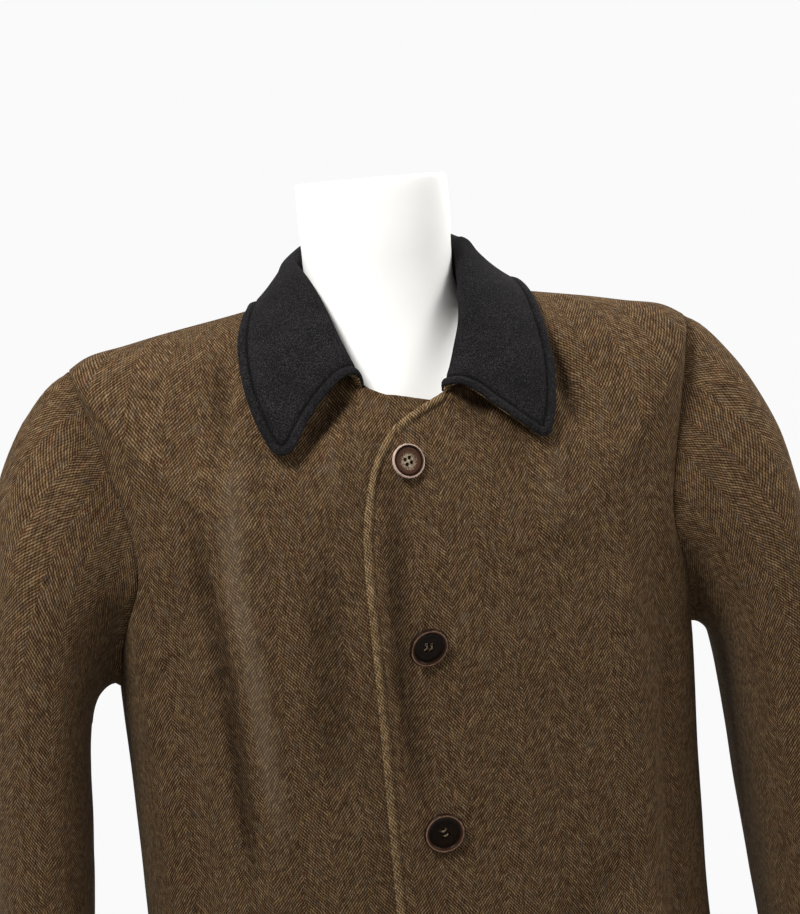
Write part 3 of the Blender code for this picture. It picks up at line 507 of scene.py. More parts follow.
def walk(line, step):
    """Points a step apart along a line of points."""
    runs = run_along(line)
    at = np.linspace(0.0, runs[-1], max(2, int(round(runs[-1] / step)) + 1))
    return np.stack([np.interp(at, runs, line[:, axis]) for axis in range(line.shape[1])], axis=1)


def distance_to(lines, points, step=DOT_STEP):
    """The distance from each point of a grid to the nearest of several lines."""
    dots = [walk(line, step) for line in lines] or [np.full((1, 3), NOWHERE)]
    near = tree_of(np.concatenate(dots))
    gaps = np.array([near.find(point)[2] for point in points.reshape(-1, 3)])
    return gaps.reshape(points.shape[:2])


# %% The roll along an edge
STITCH_IN = 0.0070
PUFF, PUFF_IN, PUFF_WIDTH = 0.0011, 0.0034, 0.0024
DIP, DIP_WIDTH = 0.0012, 0.0014


def edge_roll(free):
    """How far the cloth stands proud near a stitched edge."""
    puff = PUFF * np.exp(-((free - PUFF_IN) / PUFF_WIDTH) ** 2)
    dip = DIP * np.exp(-((free - STITCH_IN) / DIP_WIDTH) ** 2)
    return puff - dip


def edge_round(free, radius):
    """How far a face draws in towards the middle of the wall at a free edge, to round it."""
    inside = np.clip(radius - free, 0.0, radius)
    return radius - np.sqrt(radius ** 2 - inside ** 2)


# %% [markdown]
# ## The cloth panels
#
# A panel is a closed shell: an outer face with the creases and the roll, an inner face one wall
# behind it, and a rim between them. Starting from a grid keeps the faces in rows, so the weave and
# the stitches have something to follow. The inner face is a copy of the outer one, turned round, and
# its rim is bridged. A sleeve is a tube, so its two long sides are merged first.

# %% Finer grids
Panel = namedtuple("Panel", "down across fine sharp creases on_flat")


def normals_of(points, facing, tube):
    """The outward direction at each point of a grid."""
    normals = facing * np.cross(np.gradient(points, axis=1), np.gradient(points, axis=0))
    if tube:
        normals[:, 0] += normals[:, -1]
        normals[:, -1] = normals[:, 0]
    return normals / np.linalg.norm(normals, axis=2)[..., None]


def refine(node, values, panel, tube):
    """A finer grid through the panel's points, or through their places on the flat cloth."""
    grid = GRIDS[node]
    down, across = run_lengths(grid, 0), run_lengths(grid, 1)
    at_down = spaced(down[-1], panel.down, panel.fine[0], panel.fine[1])
    at_across = spaced(across[-1], panel.across, panel.fine[2], panel.fine[3])
    sharp = panel.sharp[:, None] if panel.sharp is not None else 0.0
    corners = (SHOULDER_ROW, UNDERARM_ROW) if panel.sharp is not None else ()
    finer = np.swapaxes(through(down, values, at_down, corners, sharp), 0, 1)
    if tube:
        finer = np.concatenate((finer[-3:-1], finer, finer[1:3]))
        across = np.concatenate((across[-3:-1] - across[-1], across, across[1:3] + across[-1]))
    return np.swapaxes(through(across, finer, at_across), 0, 1)


# %% Shells from grids
def shell(name, outer, inner, flat, marks, facing):
    """A closed shell between two grids of points, with the cloth's grain as its UV map, and values
    for each point as named attributes."""
    sheet = grid_sheet(outer)
    number = sheet.verts.layers.int["number"]
    grain = sheet.loops.layers.uv.new("grain")
    places = flat.reshape(-1, 2)
    for face in sheet.faces:
        face.smooth = True
        for corner in face.loops:
            corner[grain].uv = places[corner.vert[number]]
    bmesh.ops.remove_doubles(sheet, verts=sheet.verts, dist=MADE_CLOSE)
    if facing < 0.0:
        bmesh.ops.reverse_faces(sheet, faces=sheet.faces)
    rim = [edge for edge in sheet.edges if edge.is_boundary]
    made = bmesh.ops.duplicate(sheet, geom=sheet.verts[:] + sheet.edges[:] + sheet.faces[:])
    behind = inner.reshape(-1, 3)
    for item in made["geom"]:
        if isinstance(item, bmesh.types.BMVert):
            item.co = behind[item[number]]
    copies = [item for item in made["geom"] if isinstance(item, bmesh.types.BMFace)]
    bmesh.ops.reverse_faces(sheet, faces=copies)
    while rim:
        opening = [rim[0]]
        for edge in opening:
            opening.extend(other for vert in edge.verts for other in vert.link_edges
                           if other in rim and other not in opening)
        rim = [edge for edge in rim if edge not in opening]
        facing_it = [made["edge_map"][edge] for edge in opening]
        closed = bmesh.ops.bridge_loops(sheet, edges=opening + facing_it)["faces"]
        for face in closed:
            face.smooth = True
            for corner in face.loops:
                beside = next(other for other in corner.vert.link_loops if other.face not in closed)
                corner[grain].uv = beside[grain].uv
    mesh = finished(name, sheet)
    numbers = np.zeros(len(mesh.vertices), dtype=np.int32)
    mesh.attributes["number"].data.foreach_get("value", numbers)
    for mark, values in marks.items():
        layer = mesh.attributes.new(mark, "FLOAT", "POINT")
        layer.data.foreach_set("value", values.ravel()[numbers])
    return mesh


# %% Pieces that ride on the coat
def as_piece(name, mesh, material, slot, *nodes):
    """An object for a finished mesh, riding on the coat and standing for its plain solids."""
    piece = placed(name, mesh)
    mesh.materials.append(material)
    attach(piece, "root")
    if nodes:
        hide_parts(*nodes)
    return piece

# %% [markdown]
# ## Colours and nodes
#
# Colours are picked as sRGB hex codes, the way a screen shows them, and a shader wants them linear.
# One function turns them. One more adds a node to a material, with its settings and its links, so
# that each material below reads as a list of what the light meets.

# %% Colour and node helpers
def colour(code):
    """A linear colour from an sRGB hex code."""
    parts = [int(code[at:at + 2], 16) / 255.0 for at in (1, 3, 5)]
    linear = [part / 12.92 if part <= 0.04045 else ((part + 0.055) / 1.055) ** 2.4 for part in parts]
    return linear + [1.0]


def add(tree, kind, sockets, stops=(), **settings):
    """Adds a node and returns its outputs. A socket takes a plain value or another node's output.
    Stops are the places and hex codes of a colour ramp, in order."""
    node = tree.nodes.new("ShaderNode" + kind)
    for name, value in settings.items():
        setattr(node, name, value)
    for number, (place, code) in enumerate(stops):
        ramp = node.color_ramp.elements
        stop = ramp[number] if number < 2 else ramp.new(place)
        stop.position, stop.color = place, colour(code)
    for name, value in sockets.items():
        if isinstance(value, bpy.types.NodeSocket):
            tree.links.new(value, node.inputs[name])
        else:
            node.inputs[name].default_value = value
    return node.outputs


def calc(tree, operation, *values):
    """One step of arithmetic on plain values and other nodes' outputs."""
    return add(tree, "Math", dict(enumerate(values)), operation=operation)[0]


def principled(tree, sockets):
    """Ends a material with one principled surface."""
    add(tree, "OutputMaterial", {"Surface": add(tree, "BsdfPrincipled", sockets)[0]})


def new_material(name):
    """An empty node material and its tree."""
    material = bpy.data.materials.new(name)
    material.use_nodes = True
    material.node_tree.nodes.clear()
    return material, material.node_tree


# %% [markdown]
# ## Herringbone wool
#
# The coat's cloth is a heavy woollen tweed in a herringbone weave: columns some two centimetres
# wide, in which the twill lines climb one way, then the other, with a clean break between them. The
# lines are tan and brown yarns that show as rows of small dots, with rust and ochre from dyed fibres
# in soft clouds. The wool scatters light in a soft nap, so it has a little sheen and hardly any
# gloss. The pattern is drawn from the grain map, which is in metres, so its sizes are those of the
# weave: only the lines are drawn somewhat wider than real ones, so that they show.

# %% The weave's lines and dots
COLUMN = 0.0222
TWILL_RISE = 1.19
TWILL_PITCH = 0.00264
DOT_PITCH = 0.0015
# How strongly a fold's crest is painted pale as a highlight, and its hollow painted dark as shade.
PALE_CREST, DARK_HOLLOW = 0.10, 0.42

herringbone, tree = new_material("herringbone_wool_tweed")
grain = add(tree, "UVMap", {}, uv_map="grain")[0]
# Hand-spun yarn wanders, so the lines are bent a little before they are drawn.
drift = add(tree, "TexNoise", {"Vector": grain, "Scale": 70.0, "Detail": 2.0}, noise_dimensions="2D")[1]
drift = add(tree, "VectorMath", {0: drift, 1: (0.5, 0.5, 0.5)}, operation="SUBTRACT")[0]
drift = add(tree, "VectorMath", {0: drift, "Scale": 0.0022}, operation="SCALE")[0]
bent = add(tree, "VectorMath", {0: grain, 1: drift}, operation="ADD")[0]
place = add(tree, "SeparateXYZ", {0: bent})
across = calc(tree, "PINGPONG", place[0], COLUMN)
number = calc(tree, "DIVIDE", place[0], COLUMN)
number = calc(tree, "FLOOR", number)
climb = calc(tree, "MULTIPLY", across, TWILL_RISE)
height = calc(tree, "SUBTRACT", place[1], climb)
lines = calc(tree, "DIVIDE", height, TWILL_PITCH)
# The break between two columns sets the lines half a step apart.
broken = calc(tree, "MULTIPLY_ADD", number, 0.5, lines)
yarn = calc(tree, "FLOOR", broken)
wave = calc(tree, "FRACT", broken)
wave = calc(tree, "PINGPONG", wave, 0.5)
# Along a line the crossing threads show as small dots, a millimetre and a half apart.
dots = calc(tree, "MULTIPLY", across, math.tau / DOT_PITCH)
dots = calc(tree, "MULTIPLY_ADD", yarn, 2.4, dots)
dots = calc(tree, "SINE", dots)
# Each yarn also has its own slow changes, as it was spun from mixed fibres.
spun_at = add(tree, "CombineXYZ", {0: across, 1: yarn, 2: number})[0]
spun_at = add(tree, "VectorMath", {0: spun_at, 1: (380.0, 3.71, 5.3)}, operation="MULTIPLY")[0]
spun = add(tree, "TexNoise", {"Vector": spun_at, "Scale": 1.0, "Detail": 2.0})[0]
hair = add(tree, "TexNoise", {"Vector": grain, "Scale": 1700.0, "Detail": 2.0, "Roughness": 0.65},
           noise_dimensions="2D")[0]
light = calc(tree, "MULTIPLY_ADD", wave, 0.92, -0.36)
light = calc(tree, "MULTIPLY_ADD", dots, 0.085, light)
light = calc(tree, "MULTIPLY_ADD", spun, 0.70, light)
light = calc(tree, "MULTIPLY_ADD", hair, 0.64, light)
tone = add(tree, "ValToRGB", {"Fac": light}, stops=(
    (0.16, "#19110c"), (0.42, "#342519"), (0.64, "#523e29"), (0.92, "#867257")))[0]

# %% The cloth's colours, its wear, and painted light and shade
# Rust, ochre and grey fibres were carded in, and drift through the cloth in clouds a centimetre long.
cloud_at = add(tree, "VectorMath", {0: grain, 1: (230.0, 90.0, 1.0)}, operation="MULTIPLY")[0]
cloud = add(tree, "TexNoise", {"Vector": cloud_at, "Scale": 1.0, "Detail": 2.0},
            noise_dimensions="2D")[1]
cloud = add(tree, "SeparateXYZ", {0: cloud})
for channel, code, most in ((0, "#6e3526", 0.20), (1, "#705a30", 0.30), (2, "#474741", 0.40)):
    share = add(tree, "MapRange", {
        "Value": cloud[channel], "From Min": 0.54, "From Max": 0.74, "To Max": most})[0]
    share = calc(tree, "MULTIPLY", share, light)
    tone = add(tree, "Mix", {"Factor": share, 6: tone, 7: colour(code)}, data_type="RGBA")[2]
# The nap on a rolled edge is rubbed up and paler, and the highlight that the rolled edge catches is
# painted into this paler colour too; the stitched groove is not lightened.
rim = add(tree, "Attribute", {}, attribute_name="from_edge")["Fac"]
rim_wear_and_highlight = add(tree, "MapRange", {"Value": rim, "From Min": 0.0074, "From Max": 0.0032, "To Max": 0.25},
           interpolation_type="SMOOTHSTEP")[0]
raised = add(tree, "MapRange", {"Value": light, "From Min": 0.34, "From Max": 0.78})[0]
rim_wear_and_highlight = calc(tree, "MULTIPLY", rim_wear_and_highlight, raised)
tone = add(tree, "Mix", {"Factor": rim_wear_and_highlight, 6: tone, 7: colour("#b69c71")}, data_type="RGBA",
           blend_type="ADD")[2]
# Painted light and shade from the fold's height: a fold's crest is painted pale and greyish as a
# highlight, and its hollow is painted dark as shade.
fold = add(tree, "Attribute", {}, attribute_name="fold")["Fac"]
crest_highlight = add(tree, "MapRange", {
    "Value": fold, "From Min": 0.0010, "From Max": 0.0060, "To Max": PALE_CREST},
    interpolation_type="SMOOTHSTEP")[0]
tone = add(tree, "Mix", {"Factor": crest_highlight, 6: tone, 7: colour("#a8977f")}, data_type="RGBA")[2]
hollow_shade = add(tree, "MapRange", {
    "Value": fold, "From Min": -0.0008, "From Max": -0.0058, "To Max": DARK_HOLLOW},
    interpolation_type="SMOOTHSTEP")[0]
tone = add(tree, "Mix", {"Factor": hollow_shade, 6: tone, 7: colour("#0d0906")}, data_type="RGBA")[2]
relief = calc(tree, "MULTIPLY_ADD", hair, 0.5, light)
bump = add(tree, "Bump", {"Height": relief, "Strength": 0.55, "Distance": 0.0006})[0]
principled(tree, {
    "Base Color": tone, "Normal": bump, "Roughness": 0.92, "Specular IOR Level": 0.03,
    "Sheen Weight": 0.07, "Sheen Roughness": 0.30, "Sheen Tint": colour("#c9b79b")})
print("material:", herringbone.name)

# %% [markdown]
# ## Felted melton
#
# The collar is a charcoal melton: wool that was milled until its weave disappeared under a felted
# nap. It looks nearly black and quite flat, with a faint bloom of pale fibre ends on it.

# %% Melton material
melton, tree = new_material("charcoal_wool_melton")
at = add(tree, "TexCoord", {})["Object"]
# Felt fibres are finer than a pixel; these clumps are drawn a millimetre wide so that they show.
felt = add(tree, "TexNoise", {"Vector": at, "Scale": 1200.0, "Detail": 4.0, "Roughness": 0.7})[0]
cloudy = add(tree, "TexNoise", {"Vector": at, "Scale": 45.0, "Detail": 2.0})[0]
mixed = calc(tree, "MULTIPLY_ADD", cloudy, 0.10, felt)
tone = add(tree, "ValToRGB", {"Fac": mixed}, stops=(
    (0.38, "#090909"), (0.56, "#171617"), (0.82, "#444142")))[0]
# The stitched groove along the edge is painted darker, as painted shade in the groove.
rim = add(tree, "Attribute", {}, attribute_name="from_edge")["Fac"]
off = calc(tree, "SUBTRACT", rim, STITCH_IN)
off = calc(tree, "ABSOLUTE", off)
groove_shade = add(tree, "MapRange", {"Value": off, "From Min": 0.0016, "From Max": 0.0004, "To Max": 0.50},
             interpolation_type="SMOOTHSTEP")[0]
tone = add(tree, "Mix", {"Factor": groove_shade, 6: tone, 7: colour("#050505")}, data_type="RGBA")[2]
bump = add(tree, "Bump", {"Height": felt, "Strength": 0.60, "Distance": 0.0006})[0]
principled(tree, {
    "Base Color": tone, "Normal": bump, "Roughness": 0.95, "Specular IOR Level": 0.03,
    "Sheen Weight": 0.03, "Sheen Roughness": 0.50, "Sheen Tint": colour("#b5b2b2")})
print("material:", melton.name)

# %% [markdown]
# ## Sewing thread
#
# The top stitching is a twisted thread in the colour of its cloth, sunk into the nap. The twist is
# finer than a pixel, so fine specks of light and dark stand for it.

# %% Thread materials
def sewing_thread(name, dark, pale):
    """A twisted, dull thread between two colours."""
    material, tree = new_material(name)
    at = add(tree, "TexCoord", {})["Object"]
    twist = add(tree, "TexNoise", {"Vector": at, "Scale": 2200.0, "Detail": 1.0})[0]
    tone = add(tree, "ValToRGB", {"Fac": twist}, stops=((0.35, dark), (0.65, pale)))[0]
    bump = add(tree, "Bump", {"Height": twist, "Strength": 0.4, "Distance": 0.0002})[0]
    principled(tree, {
        "Base Color": tone, "Normal": bump, "Roughness": 0.80, "Specular IOR Level": 0.08})
    return material


brown_thread = sewing_thread("brown_sewing_thread", "#2e2115", "#5c472e")
charcoal_thread = sewing_thread("charcoal_sewing_thread", "#0c0b0b", "#1a1919")
pale_thread = sewing_thread("pale_button_thread", "#5d5140", "#94836a")
print("threads: brown, charcoal, pale")

# %% [markdown]
# ## The collar's points
#
# A collar is sewn inside out and then turned, and thick wool won't turn into a sharp point, so its
# points come out round. A grid has square corners. Leading its own rows and columns round the bend
# keeps their order, which cutting the corner off would not. The under collar is cut a little smaller,
# so that the top collar rolls over its edge and hides the seam.

# %% Round the collar's points
def rounded_corner(points, last_row, size):
    """A grid with the corner at its last column and its first or last row rounded off."""
    rows, columns = points.shape[:2]
    ends = points[::-1] if last_row else points
    down, back = run_along(ends[:, -1]), run_along(ends[0, ::-1])
    across, along = np.meshgrid(np.clip(1.0 - back / size, 0.0, 1.0),
                                np.clip(1.0 - down / size, 0.0, 1.0))
    inward = size * (1.0 - along * np.sqrt(1.0 - across ** 2 / 2.0))
    beside = size * (1.0 - across * np.sqrt(1.0 - along ** 2 / 2.0))
    down_at, back_at = np.arange(rows), np.arange(columns)
    row = np.where(along > 0.0, np.interp(inward, down, down_at), down_at[:, None])
    column = np.where(across > 0.0, np.interp(beside, back, back_at), back_at[None, :])
    low_row = np.minimum(row.astype(int), rows - 2)
    low_column = np.minimum(column.astype(int), columns - 2)
    share_row, share_column = (row - low_row)[..., None], (column - low_column)[..., None]
    mirrored = ends[:, ::-1]
    first, second = (mirrored[at, low_column] * (1.0 - share_column)
                     + mirrored[at, low_column + 1] * share_column for at in (low_row, low_row + 1))
    made = (first * (1.0 - share_row) + second * share_row)[:, ::-1]
    return made[::-1] if last_row else made


def drawn_in(points, start, end, side):
    """A grid drawn in at its first row, its last row and its last column, by a length each."""
    for axis, before, after in ((0, start, end), (1, 0.0, side)):
        runs = run_lengths(points, axis)
        at = before + runs * (runs[-1] - before - after) / runs[-1]
        lower = np.clip(np.searchsorted(runs, at, side="right") - 1, 0, len(runs) - 2)
        share = (at - runs[lower]) / np.diff(runs)[lower]
        share = share.reshape((-1, 1, 1) if axis == 0 else (1, -1, 1))
        points = np.take(points, lower, axis) * (1.0 - share) + np.take(points, lower + 1, axis) * share
    return points


RIGHT_POINT, LEFT_POINT = 0.019, 0.009
UNDER_RIGHT, UNDER_LEFT, UNDER_SIDE = 0.0034, 0.0005, 0.0014

# %% [markdown]
# ## Dressing the coat
#
# Every panel goes the same way: a finer grid, its creases and low swells, the roll along its free
# edges, the dip along its seams, and a shell round the whole. One loop keeps the cloth the same
# everywhere. Each panel's row gives the steps of its grid down and across, whether its first and last
# row and its first and last column are stitched edges, where its side may turn a corner, and its
# creases. The fronts lap, so the upper one is lifted along its edge, and the lower one sinks.

# %% What each panel gets
SHOULDER_ROW, UNDERARM_ROW = 9, 17
SIDE_ONLY = np.linspace(0.0, 1.0, GRIDS["front_left"].shape[1]) ** 6
BOTH_SIDES = np.abs(np.linspace(-1.0, 1.0, GRIDS["back"].shape[1])) ** 6
HEM_ONLY = (False, True, False, False)
FRONT = Panel(0.0036, 0.0036, (True, True, True, False), SIDE_ONLY, FRONT_CREASES, False)
PANELS = {"front_left": FRONT, "front_right": FRONT,
          "back": Panel(0.0050, 0.0055, HEM_ONLY, BOTH_SIDES, BACK_CREASES, False)}
for node, creases in SLEEVE_CREASES.items():
    PANELS[node] = Panel(0.0050, 0.0050, HEM_ONLY, None, creases, True)
for node, down, across in (("collar_top", 0.0024, 0.0022), ("collar_under", 0.0036, 0.0036)):
    PANELS[node] = Panel(down, across, (True, True, False, True), None, (), False)
COLLAR_SEAM = GRIDS["collar_under"][:, 0]
SEWN_WITHIN = 0.006


def edges_of(node, points):
    """A panel's stitched edges, its plain free edges and its seams, as lines of points."""
    if node.startswith("collar"):
        return [points[0], points[-1], points[:, -1]], [], [points[:, 0]]
    if node.startswith("sleeve"):
        return [points[-1]], [], [points[0]]
    if node == "back":
        return [points[-1]], [], [points[0], points[:, 0], points[:, -1]]
    sewn = distance_to([COLLAR_SEAM], points[:1], 4.0 * DOT_STEP)[0] < SEWN_WITHIN
    first = len(sewn) - int(np.argmin(sewn[::-1]))
    bare, seams = points[0][:first + 1], [points[0][first:], points[:, -1]]
    if node == "front_right":
        return [points[-1], points[:, 0]], [bare], seams
    return [bare, points[-1], points[:, 0]], [], seams


# Swells: how many to a metre, how high, and the slice of noise used in front and behind.
Swell = namedtuple("Swell", "scale height front behind")
SWELLS = (Swell(9.0, 0.0012, 3.0, 8.0), Swell(24.0, 0.0005, 5.0, 2.0))


def soft_lumps(points):
    """Low swells that thick cloth keeps, the same on two layers that lie on each other."""
    lumps = np.zeros(points.shape[:2])
    for swell in SWELLS:
        heights = [noise.noise(Vector((x * swell.scale, swell.front if y < 0.0 else swell.behind,
                                       z * swell.scale))) for x, y, z in points.reshape(-1, 3)]
        lumps += swell.height * np.array(heights).reshape(lumps.shape)
    return lumps


NECK_TURN_UP, NECK_NEAR, NECK_FULL, NECK_FADE = 0.0026, 0.016, 0.012, 0.030


def turn_up_neckline(points, whole):
    """Draws a panel's neckline up against the collar's seam, where the two are sewn, or all along."""
    gaps = distance_to([COLLAR_SEAM], points[:1], 2.0 * DOT_STEP)[0]
    sewn = np.ones(len(gaps)) if whole else np.clip((NECK_NEAR - gaps) / NECK_FULL, 0.0, 1.0)
    up = points[0] - points[4]
    up /= np.linalg.norm(up, axis=1)[:, None]
    down = np.concatenate((np.zeros((1, points.shape[1])),
                           np.cumsum(np.linalg.norm(np.diff(points, axis=0), axis=2), axis=0)))
    fade = np.clip(1.0 - down / NECK_FADE, 0.0, 1.0) ** 2
    return points + up[None] * (NECK_TURN_UP * sewn * fade)[..., None]


# %% Dress the coat in its cloth
FOLD_FADE, EDGE_ROUND = 0.020, 0.46
LAP_LIFT, LAP_SINK, LAP_SOFT = 0.0012, 0.0018, 0.012
LAP_WIDTH, HEM_SINK, HEM_SOFT = 0.066, 0.0021, 0.012
SEAM_DIP, SEAM_SOFT = 0.0008, 0.0025
# The folds' painted light and shade is strongest on the chest, and weak on the skirts and what hangs
# free.
FOLD_PAINT_FROM, FOLD_PAINT_OVER, FOLD_PAINT_LEAST = 1.02, 0.10, 0.30

SHEETS = {}
for node, panel in PANELS.items():
    tube = node.startswith("sleeve")
    wall = COLLAR_WALL if node.startswith("collar") else WALL
    base = refine(node, GRIDS[node], panel, tube)
    flat = refine(node, FLATS[node], panel, False)
    facing = FACINGS[node]
    if node in ("front_left", "front_right", "back"):
        base = turn_up_neckline(base, node != "back")
    if node.startswith("collar"):
        base = rounded_corner(rounded_corner(base, False, RIGHT_POINT), True, LEFT_POINT)
    if node == "collar_under":
        base = drawn_in(base, UNDER_RIGHT, UNDER_LEFT, UNDER_SIDE)
    normals = normals_of(base, facing, tube)
    stitched, plain, seams = edges_of(node, base)
    roll, free, seam = (distance_to(lines, base) for lines in (stitched, stitched + plain, seams))
    fold = np.zeros(base.shape[:2])
    for crease in panel.creases:
        fold += crease_depth(crease, flat if panel.on_flat else base[:, :, (0, 2)])
    # Folds run out before a seam or a front edge, but they fall freely through the hem.
    holding = [line for line in stitched + plain + seams if not np.array_equal(line, base[-1])]
    loose = np.clip(distance_to(holding, base) / FOLD_FADE, 0.0, 1.0)
    fold *= loose
    rise = fold.copy()
    if not node.startswith("collar"):
        rise += soft_lumps(base) * loose
    if node.startswith("front"):
        lap = distance_to([base[:, 0]], base)
        rise += (LAP_LIFT if node == "front_left" else -LAP_SINK) * np.exp(-(lap / LAP_SOFT) ** 2)
    if node == "front_right":
        # Its hem lies flat under the other front's.
        hem = distance_to([base[-1]], base)
        rise -= HEM_SINK * np.exp(-(lap / LAP_WIDTH) ** 4 - (hem / HEM_SOFT) ** 2)
    dressed = rise + edge_roll(roll) - SEAM_DIP * np.exp(-(seam / SEAM_SOFT) ** 2)
    rounding = edge_round(free, EDGE_ROUND * wall)
    outer = base + normals * (dressed - rounding)[..., None]
    inner = base + normals * (rise - wall + rounding)[..., None]
    if tube:
        outer[:, -1], inner[:, -1] = outer[:, 0], inner[:, 0]
    # Painted light and shade for the folds, carried into the cloth's colour by the fold attribute.
    painted_fold_light = fold * np.clip((base[:, :, 2] - FOLD_PAINT_FROM) / FOLD_PAINT_OVER, FOLD_PAINT_LEAST, 1.0)
    mesh = shell(node + "_cloth", outer, inner, flat, {"from_edge": roll, "fold": painted_fold_light}, facing)
    SHEETS[node] = (base, normals, stitched, outer)
    cover, slot = (melton, "melton") if node == "collar_top" else (herringbone, "tweed")
    piece = as_piece(node + "_cloth", mesh, cover, slot, node)
    print(f"{piece.name}: {base.shape[0]} x {base.shape[1]} points, {len(mesh.polygons)} faces")

# %% [markdown]
# ## Top stitching
#
# A row of stitches runs seven millimetres inside every free edge. Each stitch is one small rounded
# bead, longer than it is thick, laid along the row and half sunk in the cloth. There are hundreds,
# so a bead has only twenty faces. The row is found by stepping in from the edge across the panel and
# dropping onto the dressed face.

# %% Rows of stitches
STITCH_LENGTH, STITCH_PITCH, STITCH_THICK = 0.0025, 0.0034, 0.00050
STITCH_STEPS, STITCH_REACH, STITCH_PROUD = 4, 0.004, 0.15
ROW_ENDS, LOOK_ALONG, BEAD_FACES = 6, 2, 20


def stitch_row(sheet, edge, face, facing_at, near):
    """Adds a row of stitches to a bmesh, inside an edge and on a dressed face."""
    line = walk(edge, STITCH_PITCH / STITCH_STEPS)
    for number in range(ROW_ENDS, len(line) - ROW_ENDS, STITCH_STEPS):
        at = Vector(line[number])
        along = Vector(line[number + LOOK_ALONG] - line[number - LOOK_ALONG]).normalized()
        normal = Vector(facing_at[near.find(at)[1]])
        inward = normal.cross(along)
        ahead = face.find_nearest(at + inward * STITCH_IN)
        behind = face.find_nearest(at - inward * STITCH_IN)
        if behind[3] < ahead[3]:
            ahead = behind
        if ahead[3] > STITCH_REACH:
            continue
        up = ahead[1]
        side = up.cross(along).normalized()
        turn = Matrix((side.cross(up), side, up)).transposed().to_4x4()
        scale = Matrix.Diagonal((STITCH_LENGTH / 2.0, STITCH_THICK / 2.0, STITCH_THICK / 2.0, 1.0))
        seat = Matrix.Translation(ahead[0] + up * STITCH_THICK * STITCH_PROUD)
        bmesh.ops.create_icosphere(sheet, subdivisions=1, radius=1.0, matrix=seat @ turn @ scale)


def corners_of(grid):
    """The four corners of every quad in a grid of numbers or points, quad by quad."""
    corners = np.stack((grid[:-1, :-1], grid[:-1, 1:], grid[1:, 1:], grid[1:, :-1]), axis=2)
    return corners.reshape((-1,) + corners.shape[2:])


def sew(node, lines, thread, slot):
    """All the stitches of one panel as one piece."""
    base, normals, _, outer = SHEETS[node]
    quads = corners_of(np.arange(outer.shape[0] * outer.shape[1]).reshape(outer.shape[:2]))
    quads = (quads if FACINGS[node] > 0.0 else quads[:, ::-1]).tolist()
    face = BVHTree.FromPolygons(outer.reshape(-1, 3).tolist(), quads)
    near = tree_of(base.reshape(-1, 3))
    sheet = bmesh.new()
    for line in lines:
        stitch_row(sheet, line, face, normals.reshape(-1, 3), near)
    for part in sheet.faces:
        part.smooth = True
    mesh = finished(node + "_stitches", sheet)
    print(f"{node}: {len(mesh.polygons) // BEAD_FACES} stitches")
    return as_piece(node + "_stitches", mesh, thread, slot)


for node in ("front_left", "front_right", "back", "sleeve_left", "sleeve_right", "collar_top"):
    stitched = SHEETS[node][2]
    thread, slot = (charcoal_thread, "melton") if node == "collar_top" else (brown_thread, "tweed")
    sew(node, stitched, thread, slot)

# %% [markdown]
# ## The cloth as sheets
#
# Each panel was cut flat from the bolt, and its size laid flat is read from the unwrapped grid.

RESTS = {"front_left": ["form_body", "front_right"], "front_right": ["form_body"],
         "back": ["form_body"],
         "sleeve_left": ["front_left", "back"], "sleeve_right": ["front_right", "back"],
         "collar_under": ["front_left", "front_right", "back"], "collar_top": ["collar_under"]}
for node, under in RESTS.items():
    flat = np.ptp(FLATS[node].reshape(-1, 2), axis=0)

# %% [markdown]
# ## Horn for the buttons
#
# The buttons are a moulded resin that copies horn: brown, streaked and mottled, polished by wear.
# The first one is worn paler on its raised rim. The others are nearly black brown, and the thin bright
# arcs that their polish shows on the rim are a painted highlight: a pale ring in their colour. The
# colour follows each point's distance from the button's middle, which the mesh carries as an
# attribute, because a turned finish changes in rings.

# %% Horn materials
def horn(name, rings, streak, gloss, shine, specks):
    """Polished horn-like resin, coloured in rings from the middle outwards."""
    material, tree = new_material(name)
    at = add(tree, "TexCoord", {})["Object"]
    ring = add(tree, "Attribute", {}, attribute_name="from_middle")["Fac"]
    # Streaks in horn run for some millimetres and are half a millimetre wide.
    cloud = add(tree, "TexNoise", {"Vector": at, "Scale": 260.0, "Detail": 4.0, "Distortion": 1.2})[0]
    fine = add(tree, "TexNoise", {"Vector": at, "Scale": 1300.0, "Detail": 2.0})[0]
    shifted = calc(tree, "MULTIPLY_ADD", cloud, 0.07, ring)
    # Wear round the holes breaks up into specks, which stop short of the groove.
    broken = add(tree, "MapRange", {
        "Value": ring, "From Min": 0.78, "From Max": 0.50, "To Max": specks})[0]
    speck = calc(tree, "SUBTRACT", fine, 0.5)
    shifted = calc(tree, "MULTIPLY_ADD", speck, broken, shifted)
    tone = add(tree, "ValToRGB", {"Fac": shifted}, stops=rings)[0]
    veins = add(tree, "MapRange", {"Value": cloud, "From Min": 0.42, "From Max": 0.70})[0]
    veins = calc(tree, "MULTIPLY", veins, 0.55)
    tone = add(tree, "Mix", {"Factor": veins, 6: tone, 7: colour(streak)}, data_type="RGBA")[2]
    rough = add(tree, "MapRange", {"Value": fine, "To Min": gloss, "To Max": gloss + 0.16})[0]
    bump = add(tree, "Bump", {"Height": fine, "Strength": 0.12, "Distance": 0.0002})[0]
    principled(tree, {
        "Base Color": tone, "Normal": bump, "Roughness": rough, "IOR": 1.54,
        "Specular IOR Level": shine})
    return material


WORN_RINGS = ((0.05, "#9a8f7b"), (0.36, "#8a7b67"), (0.52, "#4a3327"), (0.66, "#452d22"),
              (0.81, "#3a241a"), (0.86, "#0a0503"), (0.92, "#3c291f"), (0.975, "#bda596"))
